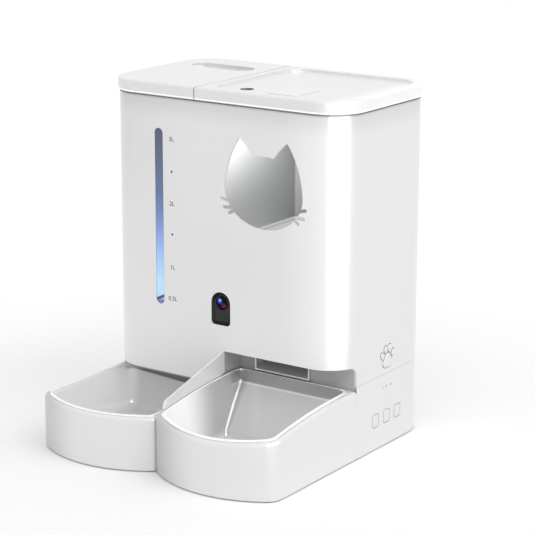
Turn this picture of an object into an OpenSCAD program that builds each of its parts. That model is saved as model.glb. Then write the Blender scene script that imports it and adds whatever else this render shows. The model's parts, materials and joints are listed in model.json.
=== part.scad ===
// Two-in-one pet feeder: a food hopper with a metering rotor and a camera, beside a lift-out water tank.
// Origin: on the floor, under the middle of the bounding box. +X is the user's right, -Y the front, +Z up.

/* [Overall] */
// Width over the lids
overall_w = 288; // [270:1:310]
// Depth from the bowl fronts to the back of the lids
overall_d = 300; // [290:1:320]
// Height to the top of the lids
overall_h = 360; // [345:1:400]

/* [Casing] */
// Depth of the upper casing, front to back
body_d = 167; // [160:1:175]
// Radius of the upright front corners
front_r = 36.5; // [25:0.5:42]
// Radius of the upright back corners
back_r = 33.5; // [25:0.5:42]
// Wall of the casings
wall = 2.5; // [2:0.1:3]
// Height of the casing's lower edge above the water bowl
water_edge_z = 59.8; // [58.5:0.1:64]
// Height of the casing's lower edge above the food bowl
food_edge_z = 96.6; // [94:0.2:104]
// Radius at the back of the notch above the food bowl
notch_r = 9; // [5:0.5:11]
// Height of the seam between base and casing
seam_z = 76.7; // [74:0.1:80]
// Gap of the seams between casings
seam_gap = 0.5; // [0.3:0.1:1]
// How far the trays run back under the casing
under_d = 31.4; // [29:0.2:34]
// X of the left wall of the notch above the food bowl
notch_x = 3.4; // [2.5:0.1:5]
// Gap between pieces that slide past each other
slide_gap = 0.3; // [0.2:0.05:0.5]

/* [Lids] */
// Height of both lids
lid_h = 12.4; // [11:0.2:15]
// How far the lids stand out past the casing
lid_overhang = 1.8; // [1:0.1:3]
// Shadow gap under the lids
lid_gap = 0.6; // [0.4:0.1:1]
// Skin of the lids
lid_skin = 2.2; // [1.8:0.1:2.6]
// X of the joint between the two lids
lid_split_x = -29.4; // [-32:0.1:-27]
// Gap between the two lids
lid_split_gap = 0.8; // [0.6:0.1:1.2]
// Depth of the tray sunk in the hopper lid
lid_tray_h = 2.3; // [1.6:0.1:3]
// Border around the tray sunk in the hopper lid
lid_tray_border = 10; // [8:0.5:14]
// Corner radius of the tray sunk in the hopper lid
lid_tray_r = 25; // [16:1:28]
// From the joint of the lids to the finger slot
slot_from_split = 16.3; // [12:0.1:20]
// Width of the finger slot in the tank lid
slot_w = 26; // [22:1:30]
// Depth of the finger cup below the slot
cup_h = 24; // [18:1:28]
// How far the finger cup runs under the front of the slot
cup_under = 9; // [6:0.5:12]
// Depth of the ring that plugs the tank and the hopper
plug_h = 11; // [9:0.5:14]
// Wall of the plug rings
plug_wall = 2; // [1.6:0.1:2.6]
// Diameter of the finger hole in the hopper lid
finger_d = 14; // [12:0.5:16]
// Length of the latch tab along X
tab_l = 35; // [30:0.5:44]
// Width of the latch tab along Y
tab_w = 38.5; // [32:0.5:44]
// X of the latch tab's left edge
tab_x = 40; // [34:0.5:46]
// X of the finger hole
finger_x = 11.2; // [8:0.2:13]
// From the tank lid's outer side to the finger slot
slot_from_side = 23.3; // [18:0.1:28]
// Distance from the casing's back to the finger slot's middle
slot_back = 45.7; // [42:0.1:50]

/* [Front openings] */
// Height of the water level window's lower end
level_z0 = 133.3; // [126:0.1:140]
// From the casing's top down to the water level window
level_drop = 32.3; // [24:0.1:60]
// Width of the water level window
level_w = 10.3; // [8:0.1:13]
// X of the water level window
level_x = -75; // [-84:0.5:-66]
// X of the cat window's middle
cat_x = 51.5; // [49:0.5:54]
// Place of the cat window's middle between the camera's top and the casing's top
cat_up_share = 0.558; // [0.54:0.002:0.58]
// Half width of the cat window
cat_half_w = 46; // [40:0.5:48]
// From the cat window's middle down to its chin
cat_chin_h = 35.3; // [30:0.1:38]
// From the cat window's middle up to its crown
cat_crown_h = 36.6; // [32:0.1:40]
// From the cat window's middle up to its ear tips
cat_ear_h = 52.2; // [46:0.1:55]
// Width of a whisker slot
whisker_w = 3.6; // [2:0.1:4]
// Length of a whisker slot past the head's edge
whisker_l = 6.6; // [3:0.1:7.2]
// Thickness of the clear panes
pane_t = 2; // [1.6:0.1:2]

/* [Bowls] */
// Radius of the trays' front arcs
tray_arc_r = 116; // [105:1:130]
// Radius of the trays' outer front corners
tray_outer_r = 19; // [12:0.5:24]
// Radius of the trays' inner front corners
tray_inner_r = 6; // [5:0.5:9]
// Gap between the two trays
tray_gap = 0.8; // [0.4:0.1:1.2]
// Wall of the trays at their tops
tray_lip_w = 4.2; // [3.6:0.1:4.6]
// Wall of the trays lower down
tray_wall = 2.5; // [2:0.1:3]
// Height of the thicker band round the trays' tops
tray_lip_h = 8; // [6:0.5:10]
// Floor of the trays
tray_floor = 2; // [1.6:0.1:3]
// Height of the water bowl's rim
water_rim_z = 56; // [54:0.1:56.5]
// Height of the food bowl's rim at its back
food_rim_z = 73; // [71.5:0.1:73.5]
// Radius of the curve that the food bowl's rim follows down to the front
food_rim_r = 770; // [700:10:900]
// How far the bowls' rims stand above the trays
rim_step = 1; // [0.5:0.1:1.5]
// Wall of the bowls at their rims
bowl_wall = 2.4; // [2:0.1:2.8]
// Draft of the bowls, rim to floor
bowl_draft = 7; // [5:0.5:9]
// Height of the bowls' inner floors
bowl_floor_z = 8.5; // [7.5:0.1:10]
// Height of the top of the food bowl's ramp
ramp_top_z = 60; // [54:0.5:62]
// How far the food bowl's ramp runs forward
ramp_l = 33; // [24:0.5:40]
// Length of the splash guard in front of the casing
guard_l = 97; // [80:1:104]
// Height of the splash guard's top at the casing
guard_back_z = 95.8; // [90:0.2:96]
// Height of the splash guard's top at its front
guard_front_z = 71.5; // [68:0.5:76]
// Thickness of the splash guard
guard_t = 2; // [1.6:0.1:2.4]

/* [Water tank] */
// Gap between the tank and the casing
tank_gap = 1; // [0.8:0.1:1.4]
// Gap behind the tank
tank_back_gap = 3.7; // [2:0.1:6]
// Wall of the tank
tank_wall = 2; // [1.6:0.1:2.4]
// Height of the tank's underside
tank_z = 106; // [103:0.5:109]
// Inner radius of the tank's neck
neck_r = 11; // [9:0.5:13]
// Distance from the casing's back to the tank's neck
neck_back = 88; // [80:1:95]
// Radius of the valve stem
stem_r = 2; // [1.6:0.1:2.4]
// Travel of the valve stem
valve_travel = 4; // [2:0.5:5]
// Radius of the water spout's bore
spout_r = 2.2; // [1.6:0.1:2.6]

/* [Hopper and rotor] */
// Gap between the hopper and the casing
hopper_gap = 0.8; // [0.6:0.1:1.4]
// Wall of the hopper
hopper_wall = 2; // [1.6:0.1:2.4]
// X of the hopper's left side
hopper_left_x = -21; // [-24:0.5:-19]
// Height at which the hopper starts to narrow
funnel_top_z = 199; // [194:0.5:206]
// Drop of the hopper's funnel
funnel_h = 30; // [28:0.5:32]
// X of the rotor's and the chute's middle
rotor_x = 54.5; // [51:0.5:57]
// Distance from the casing's back to the rotor's axis
rotor_back = 76; // [72:0.5:80]
// Radius of the rotor's blades
rotor_r = 27; // [25:0.5:28]
// Number of rotor blades
blades = 5; // [4:1:6]
// Thickness of the rotor blades
blade_t = 2.4; // [1.8:0.1:3]
// Inner width of the chute and length of the rotor's chamber
chute_w = 62.4; // [54:0.2:66]
// Wall of the chute
chute_wall = 1.6; // [1.4:0.1:2]
// Height of the chute's lip at its mouth
chute_lip_z = 74.6; // [73.8:0.1:75]
// How far the chute's mouth stands out of the recess's back wall
chute_proud = 2; // [1:0.1:2.4]
// Half width of the rotor chamber's openings, front to back
throat_half = 20; // [16:0.5:22]

/* [Drive] */
// Pitch radius of the rotor's gear
gear_r = 20; // [18:0.5:21]
// Teeth of the rotor's gear
gear_teeth = 40; // [36:1:44]
// Teeth of the motor's pinion
pinion_teeth = 12; // [12:1:16]
// Width of the gears
gear_w = 6; // [5:0.5:8]
// Radius of the rotor's shaft
shaft_r = 3; // [2.5:0.1:3.5]
// Running gap round the shafts
shaft_gap = 0.05; // [0.02:0.01:0.08]
// Radius of the motor
motor_r = 12; // [10:0.5:13]
// Length of the motor
motor_l = 26; // [20:1:28]

/* [Camera] */
// Width of the camera's plate
cam_w = 23; // [20:0.5:26]
// Height of the camera's plate
cam_h = 34; // [32:0.5:38]
// Height of the camera plate's lower edge
cam_z0 = 123; // [118:0.5:128]
// Corner radius at the foot of the camera's plate
cam_corner_r = 3; // [2:0.5:5]
// X of the camera
cam_x = 0.7; // [-1:0.1:2]
// Radius of the camera's lens
lens_r = 7; // [6:0.1:8]

/* [Controls] */
// Distance from the casing's back to the middle of the controls
controls_back = 79.2; // [74:0.2:84]
// Height of the buttons' middles
button_z = 31.4; // [28:0.2:36]
// Width of a button
button_w = 11; // [9:0.2:13]
// Height of a button
button_h = 13.2; // [10:0.2:15]
// Distance between the buttons' middles
button_pitch = 20.7; // [18:0.1:22]
// Corner radius of a button
button_r = 2.5; // [1.5:0.1:3.5]
// Travel of a button
button_travel = 0.8; // [0.5:0.1:1]
// How far a button stands out
button_proud = 0.3; // [0.1:0.1:0.8]
// Height of the indicator lights
light_z = 62.9; // [58:0.1:66]
// Distance between the indicator lights
light_pitch = 7.25; // [6:0.05:9]
// Radius of an indicator light
light_r = 1; // [0.8:0.1:1.5]
// Height of the paw print's middle
paw_z = 93.5; // [90:0.5:100]
// Half width of the paw print
paw_half = 12; // [8:0.5:13]
// How far the paw print stands out
paw_proud = 0.8; // [0.4:0.1:1.2]

/* [Base] */
// How far the rubber feet stand out
foot_proud = 1; // [0.8:0.1:1.5]
// Thickness of the base plate
plate_t = 2.5; // [2:0.1:3]
// Thickness of the deck between base and casing
deck_t = 2.5; // [2:0.1:3]
// Radius of the screw posts
post_r = 5; // [4.5:0.1:6]
// Radius of the case screws
screw_r = 1.5; // [1.3:0.1:1.8]
// Width of the battery door
door_w = 110; // [90:1:120]
// Height of the battery door
door_h = 36; // [30:1:40]
// Depth of the battery box
battery_d = 36; // [34:0.5:40]
// Radius of the power inlet's hole
inlet_r = 3.2; // [3:0.1:3.6]
// Radius of the speaker
speaker_r = 16; // [13:0.5:18]
// Slots in the speaker's grille
grille_slots = 5; // [3:1:7]

/* [Hidden] */
$fn = 64;
hull_fn = 32;
arc_steps = 12;
overrun = 1;
skin = 0.5;

// Colours
white = [0.93, 0.93, 0.93];
liner_white = [0.97, 0.97, 0.97];
grey = [0.55, 0.56, 0.58];
black = [0.08, 0.08, 0.09];
clear = [0.75, 0.85, 0.95, 0.4];
blue = [0.45, 0.65, 0.95, 0.6];
steel = [0.75, 0.76, 0.78];
board_green = [0.1, 0.35, 0.2];
rubber_grey = [0.3, 0.3, 0.31];

// Casing planes
half_w = overall_w / 2 - lid_overhang;
back_y = overall_d / 2 - lid_overhang;
front_y = back_y - body_d;
dock_y = front_y + under_d;
lid_z = overall_h - lid_h;
body_top_z = lid_z - lid_gap;
inner_w = half_w - wall;
inner_front_y = front_y + wall;
inner_back_y = back_y - wall;
base_z = foot_proud;
base_top_z = seam_z - seam_gap;
deck_z = seam_z + slide_gap;
deck_top_z = deck_z + deck_t;
bay_back_y = dock_y + wall;
bay_bottom_z = seam_z - 5 * wall;
controls_y = back_y - controls_back;
bin_drop = 2.1;
bin_top_z = body_top_z - bin_drop;
plug_z = lid_z - plug_h;
lid_front_y = front_y - lid_overhang;
lid_back_y = back_y + lid_overhang;
lid_tray_z = overall_h - lid_tray_h;
lid_rim_w = 3;
partition_t = 2;
partition_x = lid_split_x - partition_t;

// Trays and bowls
tray_cx = (half_w + tray_gap / 2) / 2;
tray_cy = -overall_d / 2 + tray_arc_r;
tray_back_y = dock_y - slide_gap;
water_tray_z = water_rim_z - rim_step;
bowl_in = tray_lip_w + slide_gap;
bowl_back_r = 9;
bowl_inner_r = 10;
bowl_seat_z = foot_proud + tray_floor;
tray_x = tray_gap / 2;
notch_low_x = tray_x - 2 * slide_gap;
notch_low_z = food_rim_z + slide_gap;
rim_fn = 720;
pad_r = 7;
pad_sunk = 0.5;
tongue_w = 14;
tongue_l = 7;
tongue_h = 4;
tongue_z = 20;
guard_r = 8;
tongue_share = 0.5;
pad_back_share = 0.84;
pad_front_share = 0.45;

// Water side
tank_right_x = partition_x - tank_gap;
tank_left_x = -inner_w + tank_gap;
tank_front_y = inner_front_y + tank_gap;
tank_back_y = inner_back_y - tank_back_gap;
tank_corner_r = 6;
neck_x = (tank_left_x + tank_right_x) / 2;
neck_y = back_y - neck_back;
neck_h = 10;
cap_wall = 2;
cap_play = 0.2;
cap_z = tank_z - neck_h - cap_wall - cap_play;
stem_rise = 5;
seal_r = 8;
seal_h = 2;
well_wall = 2;
well_r = neck_r + tank_wall + cap_wall + 3 * well_wall;
pin_r = 2.5;
pump_half = 12;
pump_l = 14;
pump_gap = 4;
pump_y1 = neck_y - well_r - pump_gap;
pump_y0 = pump_y1 - pump_l;
pipe_wall = 1.2;
pipe_drop = 14;
pipe_z = tank_z - pipe_drop;
spout_in = 12;
spout_y = inner_front_y + spout_in;
cradle_in = 16;
cradle_from_deck = 3;

// Hopper, rotor and chute
hopper_front_y = inner_front_y + pane_t + slide_gap;
hopper_back_y = inner_back_y - hopper_gap;
hopper_right_x = inner_w - hopper_gap;
hopper_corner_r = 6;
funnel_bottom_z = funnel_top_z - funnel_h;
rotor_play = 1;
chamber_r = rotor_r + rotor_play;
drum_r = chamber_r + wall;
rotor_z = funnel_bottom_z - drum_r - skin;
rotor_y = back_y - rotor_back;
chamber_x0 = rotor_x - chute_w / 2;
chamber_x1 = rotor_x + chute_w / 2;
hub_r = 8;
leg_half = 15;
chute_front_y = dock_y - chute_proud;
chute_back_y = rotor_y + throat_half;
chute_back_z = rotor_z - drum_r + skin;
chute_slope = (chute_back_z - chute_lip_z) / (chute_back_y - chute_front_y);
mouth_top_z = food_edge_z - notch_r;
collar_z = rotor_z - sqrt(pow(drum_r, 2) - pow(throat_half + chute_wall, 2)) + skin;
deck_cut_y = chute_front_y + (deck_top_z + 2 * chute_wall - chute_lip_z) / chute_slope;
view_margin = 2;

// Drive
gear_module = 2 * gear_r / gear_teeth;
pinion_r = gear_module * pinion_teeth / 2;
tooth_add_share = 0.85;
tooth_ded_share = 1.25;
tooth_width_share = 0.21;
tip_width_share = 0.1;
gear_gap_x = 8;
gear_x1 = chamber_x0 - wall - gear_gap_x;
gear_x0 = gear_x1 - gear_w;
bracket_t = 2;
bracket_gap = 1.5;
bracket_x1 = gear_x0 - bracket_gap;
bracket_x0 = bracket_x1 - bracket_t;
motor_y = rotor_y - gear_r - pinion_r;
motor_shaft_r = 1.5;
bracket_top = 8;
shaft_end = 4;

// Camera and front panes
cam_top_z = cam_z0 + cam_h;
cam_arch_z = cam_top_z - cam_w / 2;
cat_z = cam_top_z + cat_up_share * (body_top_z - cam_top_z);
level_l = body_top_z - level_drop - level_z0;
bezel_t = 2.5;
bezel_lap = 2.5;
barrel_l = 22;
barrel_wall = 1;
lens_t = 3.4;
lens_back = 0.8;
cam_post_r = 1.5;
board_t = 1.6;
level_lap = 2;
level_flange = 0.6;
level_sunk = 0.8;
fit_gap = 0.1;

// Controls
button_gap = 0.25;
button_lap = 1.2;
board_in = 13;
board_x = half_w - board_in;
board_half = 36;
board_low = 18;
board_high = 70;
switch_w = 6;
switch_h = 3.5;
switch_x = board_x + board_t + switch_h;
stem_side_r = 2;
board_boss_r = 3;
board_boss_share = 0.86;
toe_shares = [[-0.74, 0.08, 0.25], [-0.29, 0.62, 0.28], [0.29, 0.62, 0.28], [0.74, 0.08, 0.25]];
pad_shares = [[0, -0.22, 0.34], [-0.27, -0.52, 0.27], [0.27, -0.52, 0.27], [0, -0.5, 0.3]];

// Base fittings
post_side = 11.5;
post_from_dock = 14;
post_corner = 20;
rib_t = 2;
boss_r = 4;
boss_h = 14;
inlet_side = 17;
inlet_half = 7;
plate_boss_from_inlet = 9.2;
plate_boss_x = door_w / 2 + inlet_side + inlet_half + plate_boss_from_inlet;
plate_boss_in = 8;
head_r = 3;
head_h = 1.6;
case_screw_l = 18;
plate_screw_l = 11;
post_head_drop = 8;
foot_r = 9;
foot_share = 0.66;
foot_in = 26;
door_z = 7.5;
box_wall = 2;
contact_t = 0.8;
contact_w = 12;
ridge_h = 0.8;
ridge_l = 30;
cells = 3;
inlet_z = 20;
inlet_depth = 12;
inlet_bore_l = 9;
speaker_z = 38;
speaker_t = 8;
grille_w = 2;
grille_pitch = 4.5;
grille_l_share = 0.8;
standoff_r = 3;
standoff_h = 10;
main_in = 27.7;
main_from_bay = 19;
main_x = -inner_w + main_in;
main_y = bay_back_y + main_from_bay;
main_l = 70;
main_w = 62;
main_boss = 5;
chip_shares = [[0.1, 0.1, 0.3, 0.32, 0.25], [0.4, 0.3, 0.62, 0.6, 0.15], [0.1, 0.5, 0.25, 0.9, 0.6],
    [0.7, 0.12, 0.92, 0.3, 0.5]];

// Lid hinge, inside the hopper lid's back rim
hinge_pin_r = 1.3;
hinge_ear_r = 3;
hinge_ear_w = 5;
hinge_cheek_w = 3;
hinge_play = 0.4;
hinge_in = 4.5;
hinge_up = 3.9;
hinge_relief = 1.9;
hinge_y = lid_back_y - hinge_in;
hinge_z = lid_z + hinge_up;
hinge_shares = [0.16, 0.8];
hinge_xs = [for (s = hinge_shares) lid_split_x + s * (half_w - lid_split_x)];
gasket_h = 3;
gasket_drop = 0.4;
plug_gap = 2.6;
tank_plug_gap = 0.5;
gasket_z = bin_top_z - gasket_drop - gasket_h;

// Latch tab
tab_from_tray = 14;
tab_y = lid_front_y + lid_tray_border + tab_from_tray;
tab_t = 1.8;
tab_rise = 0.5;
tab_gap = 0.4;
tab_pin_r = 1.2;
tab_pin_l = 2;
tab_pin_in = 4;
tab_pin_z = lid_tray_z - tab_t - tab_pin_r;
lug_w = 3;
hook_half = 8;
hook_t = 2.4;
hook_z = gasket_z - 2 * tab_gap - hook_t;
hook_clear = 0.8;
finger_from_tray = 22.7;
finger_y = lid_front_y + lid_tray_border + finger_from_tray;
finger_cup_h = 9;
finger_cup_wall = 1.2;
slot_l = half_w + lid_overhang + lid_split_x - slot_from_split - slot_from_side;
slot_x = lid_split_x - slot_from_split - slot_l / 2;
slot_y = back_y - slot_back;
cup_wall = 2;
cup_r = 10;
desiccant_l = 46;
desiccant_w = 40;
desiccant_h = 8;
desiccant_slots = 5;

// Helpers
module block(x0, x1, y0, y1, z0, z1) {
    translate([x0, y0, z0]) cube([x1 - x0, y1 - y0, z1 - z0]);
}

module prism(z0, z1) {
    translate([0, 0, z0]) linear_extrude(z1 - z0) children();
}

// Children are drawn with their X along the part's X and their Y along its Z
module along_y(y0, y1) {
    translate([0, y1, 0]) rotate([90, 0, 0]) linear_extrude(y1 - y0) children();
}

// Children are drawn with their X along the part's Y and their Y along its Z
module along_x(x0, x1) {
    translate([x0, 0, 0]) rotate([90, 0, 90]) linear_extrude(x1 - x0) children();
}

module rod_x(x0, x1, y, z, r) {
    translate([x0, y, z]) rotate([0, 90, 0]) cylinder(h = x1 - x0, r = r);
}

module rod_y(y0, y1, x, z, r) {
    translate([x, y1, z]) rotate([90, 0, 0]) cylinder(h = y1 - y0, r = r);
}

module rod_z(z0, z1, x, y, r) {
    translate([x, y, z0]) cylinder(h = z1 - z0, r = r);
}

// A rectangle with a radius at each corner: low left, low right, high right, high left
module round_box_2d(x0, x1, y0, y1, r) {
    spots = [[x0, y0, 1, 1], [x1, y0, -1, 1], [x1, y1, -1, -1], [x0, y1, 1, -1]];
    difference() {
        translate([x0, y0]) square([x1 - x0, y1 - y0]);
        for (i = [0:3]) if (r[i] > 0)
            translate([spots[i][0], spots[i][1]]) mirror([spots[i][2] < 0 ? 1 : 0, 0])
                mirror([0, spots[i][3] < 0 ? 1 : 0]) difference() {
                    translate([-overrun, -overrun]) square(r[i] + overrun);
                    translate([r[i], r[i]]) circle(r[i]);
                }
    }
}

module stadium_2d(cx, cy, w, h) {
    r = min(w, h) / 2;
    round_box_2d(cx - w / 2, cx + w / 2, cy - h / 2, cy + h / 2, [r, r, r, r]);
}

function arc(c, r, a0, a1, n) = [for (i = [0:n]) c + r * [cos(a0 + (a1 - a0) * i / n),
    sin(a0 + (a1 - a0) * i / n)]];
function bend(a, b, c, n) = [for (i = [0:n]) let (t = i / n)
    a * pow(1 - t, 2) + b * 2 * t * (1 - t) + c * pow(t, 2)];

// Outlines shared by the pieces
module body_2d(inset) {
    round_box_2d(-half_w + inset, half_w - inset, front_y + inset, back_y - inset,
        [front_r - inset, front_r - inset, back_r - inset, back_r - inset]);
}

module tank_2d(inset) {
    r = max(tank_corner_r - inset, skin);
    round_box_2d(tank_left_x + inset, tank_right_x - inset, tank_front_y + inset, tank_back_y - inset,
        [front_r - wall - tank_gap - inset, r, r, back_r - wall - tank_gap - inset]);
}

module hopper_2d(inset) {
    r = max(hopper_corner_r - inset, skin);
    round_box_2d(hopper_left_x + inset, hopper_right_x - inset, hopper_front_y + inset,
        hopper_back_y - inset,
        [r, front_r - wall - hopper_gap - inset, back_r - wall - hopper_gap - inset, r]);
}

module lid_tray_2d(grow) {
    r = lid_tray_r + grow;
    round_box_2d(lid_split_x + lid_tray_border - grow, half_w + lid_overhang - lid_tray_border + grow,
        lid_front_y + lid_tray_border - grow, lid_back_y - lid_tray_border + grow, [r, r, r, r]);
}

// Outline of the right-hand tray, drawn in by a margin; the left-hand one is its mirror image
function tray_points(inset, back_inset, back_r) = let (
    x_out = half_w - inset,
    x_in = tray_x + inset,
    y_back = tray_back_y - back_inset,
    big_r = tray_arc_r - inset,
    r_out = max(tray_outer_r - inset, bowl_inner_r),
    r_in = max(tray_inner_r - inset, inset > bowl_in ? bowl_inner_r : tray_inner_r / 2),
    c_out = [x_out - r_out, tray_cy - sqrt(pow(big_r - r_out, 2) - pow(x_out - r_out - tray_cx, 2))],
    c_in = [x_in + r_in, tray_cy - sqrt(pow(big_r - r_in, 2) - pow(x_in + r_in - tray_cx, 2))],
    a_out = atan2(c_out[1] - tray_cy, c_out[0] - tray_cx),
    a_in = atan2(c_in[1] - tray_cy, c_in[0] - tray_cx))
    concat(
        arc([x_in + back_r, y_back - back_r], back_r, 180, 90, arc_steps / 2),
        arc([x_out - back_r, y_back - back_r], back_r, 90, 0, arc_steps / 2),
        arc(c_out, r_out, 0, a_out, arc_steps / 2),
        arc([tray_cx, tray_cy], big_r, a_out, a_in, 2 * arc_steps),
        arc(c_in, r_in, a_in, -180, arc_steps / 2));

module tray_2d(inset, back_inset = 0, back_r = skin) {
    polygon(tray_points(inset, back_inset == 0 ? inset : back_inset, back_r));
}

module level_2d(grow) {
    stadium_2d(level_x, level_z0 + level_l / 2, level_w + 2 * grow, level_l + 2 * grow);
}

module camera_2d(grow) {
    r = cam_corner_r + max(grow, 0);
    union() {
        round_box_2d(cam_x - cam_w / 2 - grow, cam_x + cam_w / 2 + grow, cam_z0 - grow, cam_arch_z, [r,
            r, 0, 0]);
        translate([cam_x, cam_arch_z]) circle(cam_w / 2 + grow);
    }
}

// Half of a cat's head, from the chin round to the middle of the crown
ear_tip_share = 0.61;
ear_swell_share = 0.97;
ear_swell_up_share = 0.56;
ear_root_share = 0.24;
ear_inner_share = 0.45;
root_drop_share = 0.055;
function cat_half() = concat(
    [for (i = [0:arc_steps]) [cat_half_w * sin(90 * i / arc_steps), -cat_chin_h * cos(90 * i / arc_steps)]],
    bend([cat_half_w, 0], [cat_half_w * ear_swell_share, cat_ear_h * ear_swell_up_share],
        [cat_half_w * ear_tip_share, cat_ear_h], arc_steps),
    bend([cat_half_w * (ear_tip_share - skin / cat_half_w), cat_ear_h],
        [cat_half_w * ear_inner_share, cat_crown_h + (cat_ear_h - cat_crown_h) / 2],
        [cat_half_w * ear_root_share, cat_crown_h * (1 - root_drop_share)], arc_steps / 2),
    bend([cat_half_w * ear_root_share - skin, cat_crown_h * (1 - root_drop_share)],
        [cat_half_w * ear_root_share / 2, cat_crown_h - skin], [skin, cat_crown_h], arc_steps / 2));
whisker_shares = [[0.965, -0.31], [0.92, -0.515], [0.8, -0.61]];
whisker_turns = [12, -2, -31];

module cat_2d() {
    translate([cat_x, cat_z]) {
        for (s = [0, 1]) mirror([s, 0]) {
            polygon(concat(cat_half(), [[0, cat_crown_h], [0, -cat_chin_h]]));
            for (i = [0:2])
                translate([cat_half_w * whisker_shares[i][0], cat_chin_h * whisker_shares[i][1]])
                    rotate(whisker_turns[i]) {
                    translate([-whisker_l, -whisker_w / 2]) square([2 * whisker_l - whisker_w / 2,
                        whisker_w]);
                    translate([whisker_l - whisker_w / 2, 0]) circle(whisker_w / 2);
                }
        }
    }
}

// Space that the casing leaves open above the food bowl
module notch_space() {
    side = half_w + overrun;
    low = water_edge_z - overrun;
    block(notch_x, side, front_y - overrun, dock_y - notch_r, low, food_edge_z);
    block(notch_x, side, front_y - overrun, dock_y, low, food_edge_z - notch_r);
    rod_x(notch_x, side, dock_y - notch_r, food_edge_z - notch_r, notch_r);
    block(notch_low_x, side, front_y - overrun, dock_y, low, notch_low_z);
}

// Everything under the curved plane that the food bowl's rim follows
module under_rim(drop) {
    rod_x(-half_w, half_w + overrun, dock_y, food_rim_z - drop - food_rim_r, food_rim_r, $fn = rim_fn);
}

// Screw posts: two beside the dock and two in the back corners
post_spots = [for (s = [-1, 1]) each [[s * (half_w - post_side), dock_y + post_from_dock],
    [s * (half_w - post_corner), back_y - post_corner]]];
plate_spots = [for (s = [-1, 1]) each [[s * plate_boss_x, bay_back_y + plate_boss_in],
    [s * plate_boss_x, inner_back_y - plate_boss_in]]];
foot_spots = [for (s = [-1, 1]) each [[s * half_w * foot_share, bay_back_y + foot_in],
    [s * half_w * foot_share, back_y - foot_in]]];

module posts(z0, z1, r) {
    for (p = post_spots) {
        rod_z(z0, z1, p[0], p[1], r);
        intersection() {
            prism(z0, z1) body_2d(wall / 2);
            block(min(p[0], sign(p[0]) * half_w), max(p[0], sign(p[0]) * half_w), p[1] - rib_t / 2,
                p[1] + rib_t / 2,
                z0, z1);
        }
    }
}

// Casing
module housing_shell() {
    color(white) {
        difference() {
            prism(water_edge_z, body_top_z) difference() {
                body_2d(0);
                body_2d(wall);
            }
            block(-half_w - overrun, half_w + overrun, dock_y, back_y + overrun, water_edge_z - overrun,
                seam_z);
            notch_space();
            along_y(front_y - overrun, inner_front_y + overrun) level_2d(0);
            along_y(front_y - overrun, inner_front_y + overrun) cat_2d();
            along_y(front_y - overrun, inner_front_y + overrun) camera_2d(0);
            block(lid_split_x, half_w + overrun, hinge_y - hinge_in, back_y + overrun,
                body_top_z - hinge_relief,
                body_top_z + overrun);
        }
        difference() {
            posts(deck_top_z + slide_gap, deck_top_z + boss_h, post_r);
            for (p = post_spots) rod_z(deck_z, deck_z + case_screw_l, p[0], p[1], screw_r);
        }
        for (x = hinge_xs) difference() {
            union() {
                rod_x(x - hinge_ear_w / 2, x + hinge_ear_w / 2, hinge_y, hinge_z, hinge_ear_r);
                block(x - hinge_ear_w / 2, x + hinge_ear_w / 2, inner_back_y, back_y - slide_gap,
                    body_top_z - 2 * hinge_relief, hinge_z);
            }
            rod_x(x - hinge_ear_w, x + hinge_ear_w, hinge_y, hinge_z, hinge_pin_r + shaft_gap);
        }
    }
}

module bay_partition() {
    color(white) block(partition_x, lid_split_x, inner_front_y, inner_back_y, deck_top_z, bin_top_z);
}

module feed_bay() {
    color(white) difference() {
        intersection() {
            prism(bay_bottom_z, food_edge_z + wall) body_2d(wall);
            union() {
                block(notch_x - wall, half_w, inner_front_y, bay_back_y, notch_low_z, food_edge_z + wall);
                block(notch_x - wall, half_w, dock_y, bay_back_y, bay_bottom_z, food_edge_z + wall);
            }
        }
        notch_space();
        block(chamber_x0 - chute_wall - fit_gap, chamber_x1 + chute_wall + fit_gap, dock_y - overrun,
            bay_back_y + overrun, chute_lip_z - 2 * chute_wall, mouth_top_z + chute_wall + fit_gap);
    }
}

// Panel under the casing behind the water bowl, with an upstand beside the food tray
module water_bay_floor() {
    color(white) difference() {
        intersection() {
            prism(water_edge_z, notch_low_z + wall) body_2d(wall);
            union() {
                block(-half_w, notch_low_x, inner_front_y, dock_y, water_edge_z, water_edge_z + wall);
                block(notch_low_x - wall, notch_low_x, inner_front_y, dock_y, water_edge_z,
                    notch_low_z + wall);
            }
        }
        rod_z(water_edge_z - overrun, water_edge_z + wall + overrun, neck_x, spout_y, spout_r + pipe_wall);
    }
}

module chassis_deck() {
    color(grey) difference() {
        intersection() {
            prism(deck_z, deck_top_z) body_2d(wall + slide_gap);
            block(-half_w, half_w, bay_back_y + slide_gap, back_y, deck_z, deck_top_z);
        }
        block(chamber_x0 - chute_wall - slide_gap, chamber_x1 + chute_wall + slide_gap, dock_y, deck_cut_y,
            deck_z - overrun, deck_top_z + overrun);
        for (p = post_spots) rod_z(deck_z - overrun, deck_top_z + overrun, p[0], p[1], screw_r + fit_gap);
    }
}

// Base
module tray_tongues(grow) {
    for (s = [-1, 1]) for (t = [-1, 1])
        translate([s * (tray_cx + t * tray_cx * tongue_share), 0, 0])
            block(-tongue_w / 2 - grow, tongue_w / 2 + grow, tray_back_y - skin, dock_y + tongue_l + grow,
                tongue_z - grow, tongue_z + tongue_h + grow);
}

module button_hole_2d(y, grow) {
    r = button_r + grow;
    round_box_2d(y - button_w / 2 - grow, y + button_w / 2 + grow, button_z - button_h / 2 - grow,
        button_z + button_h / 2 + grow, [r, r, r, r]);
}

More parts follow.
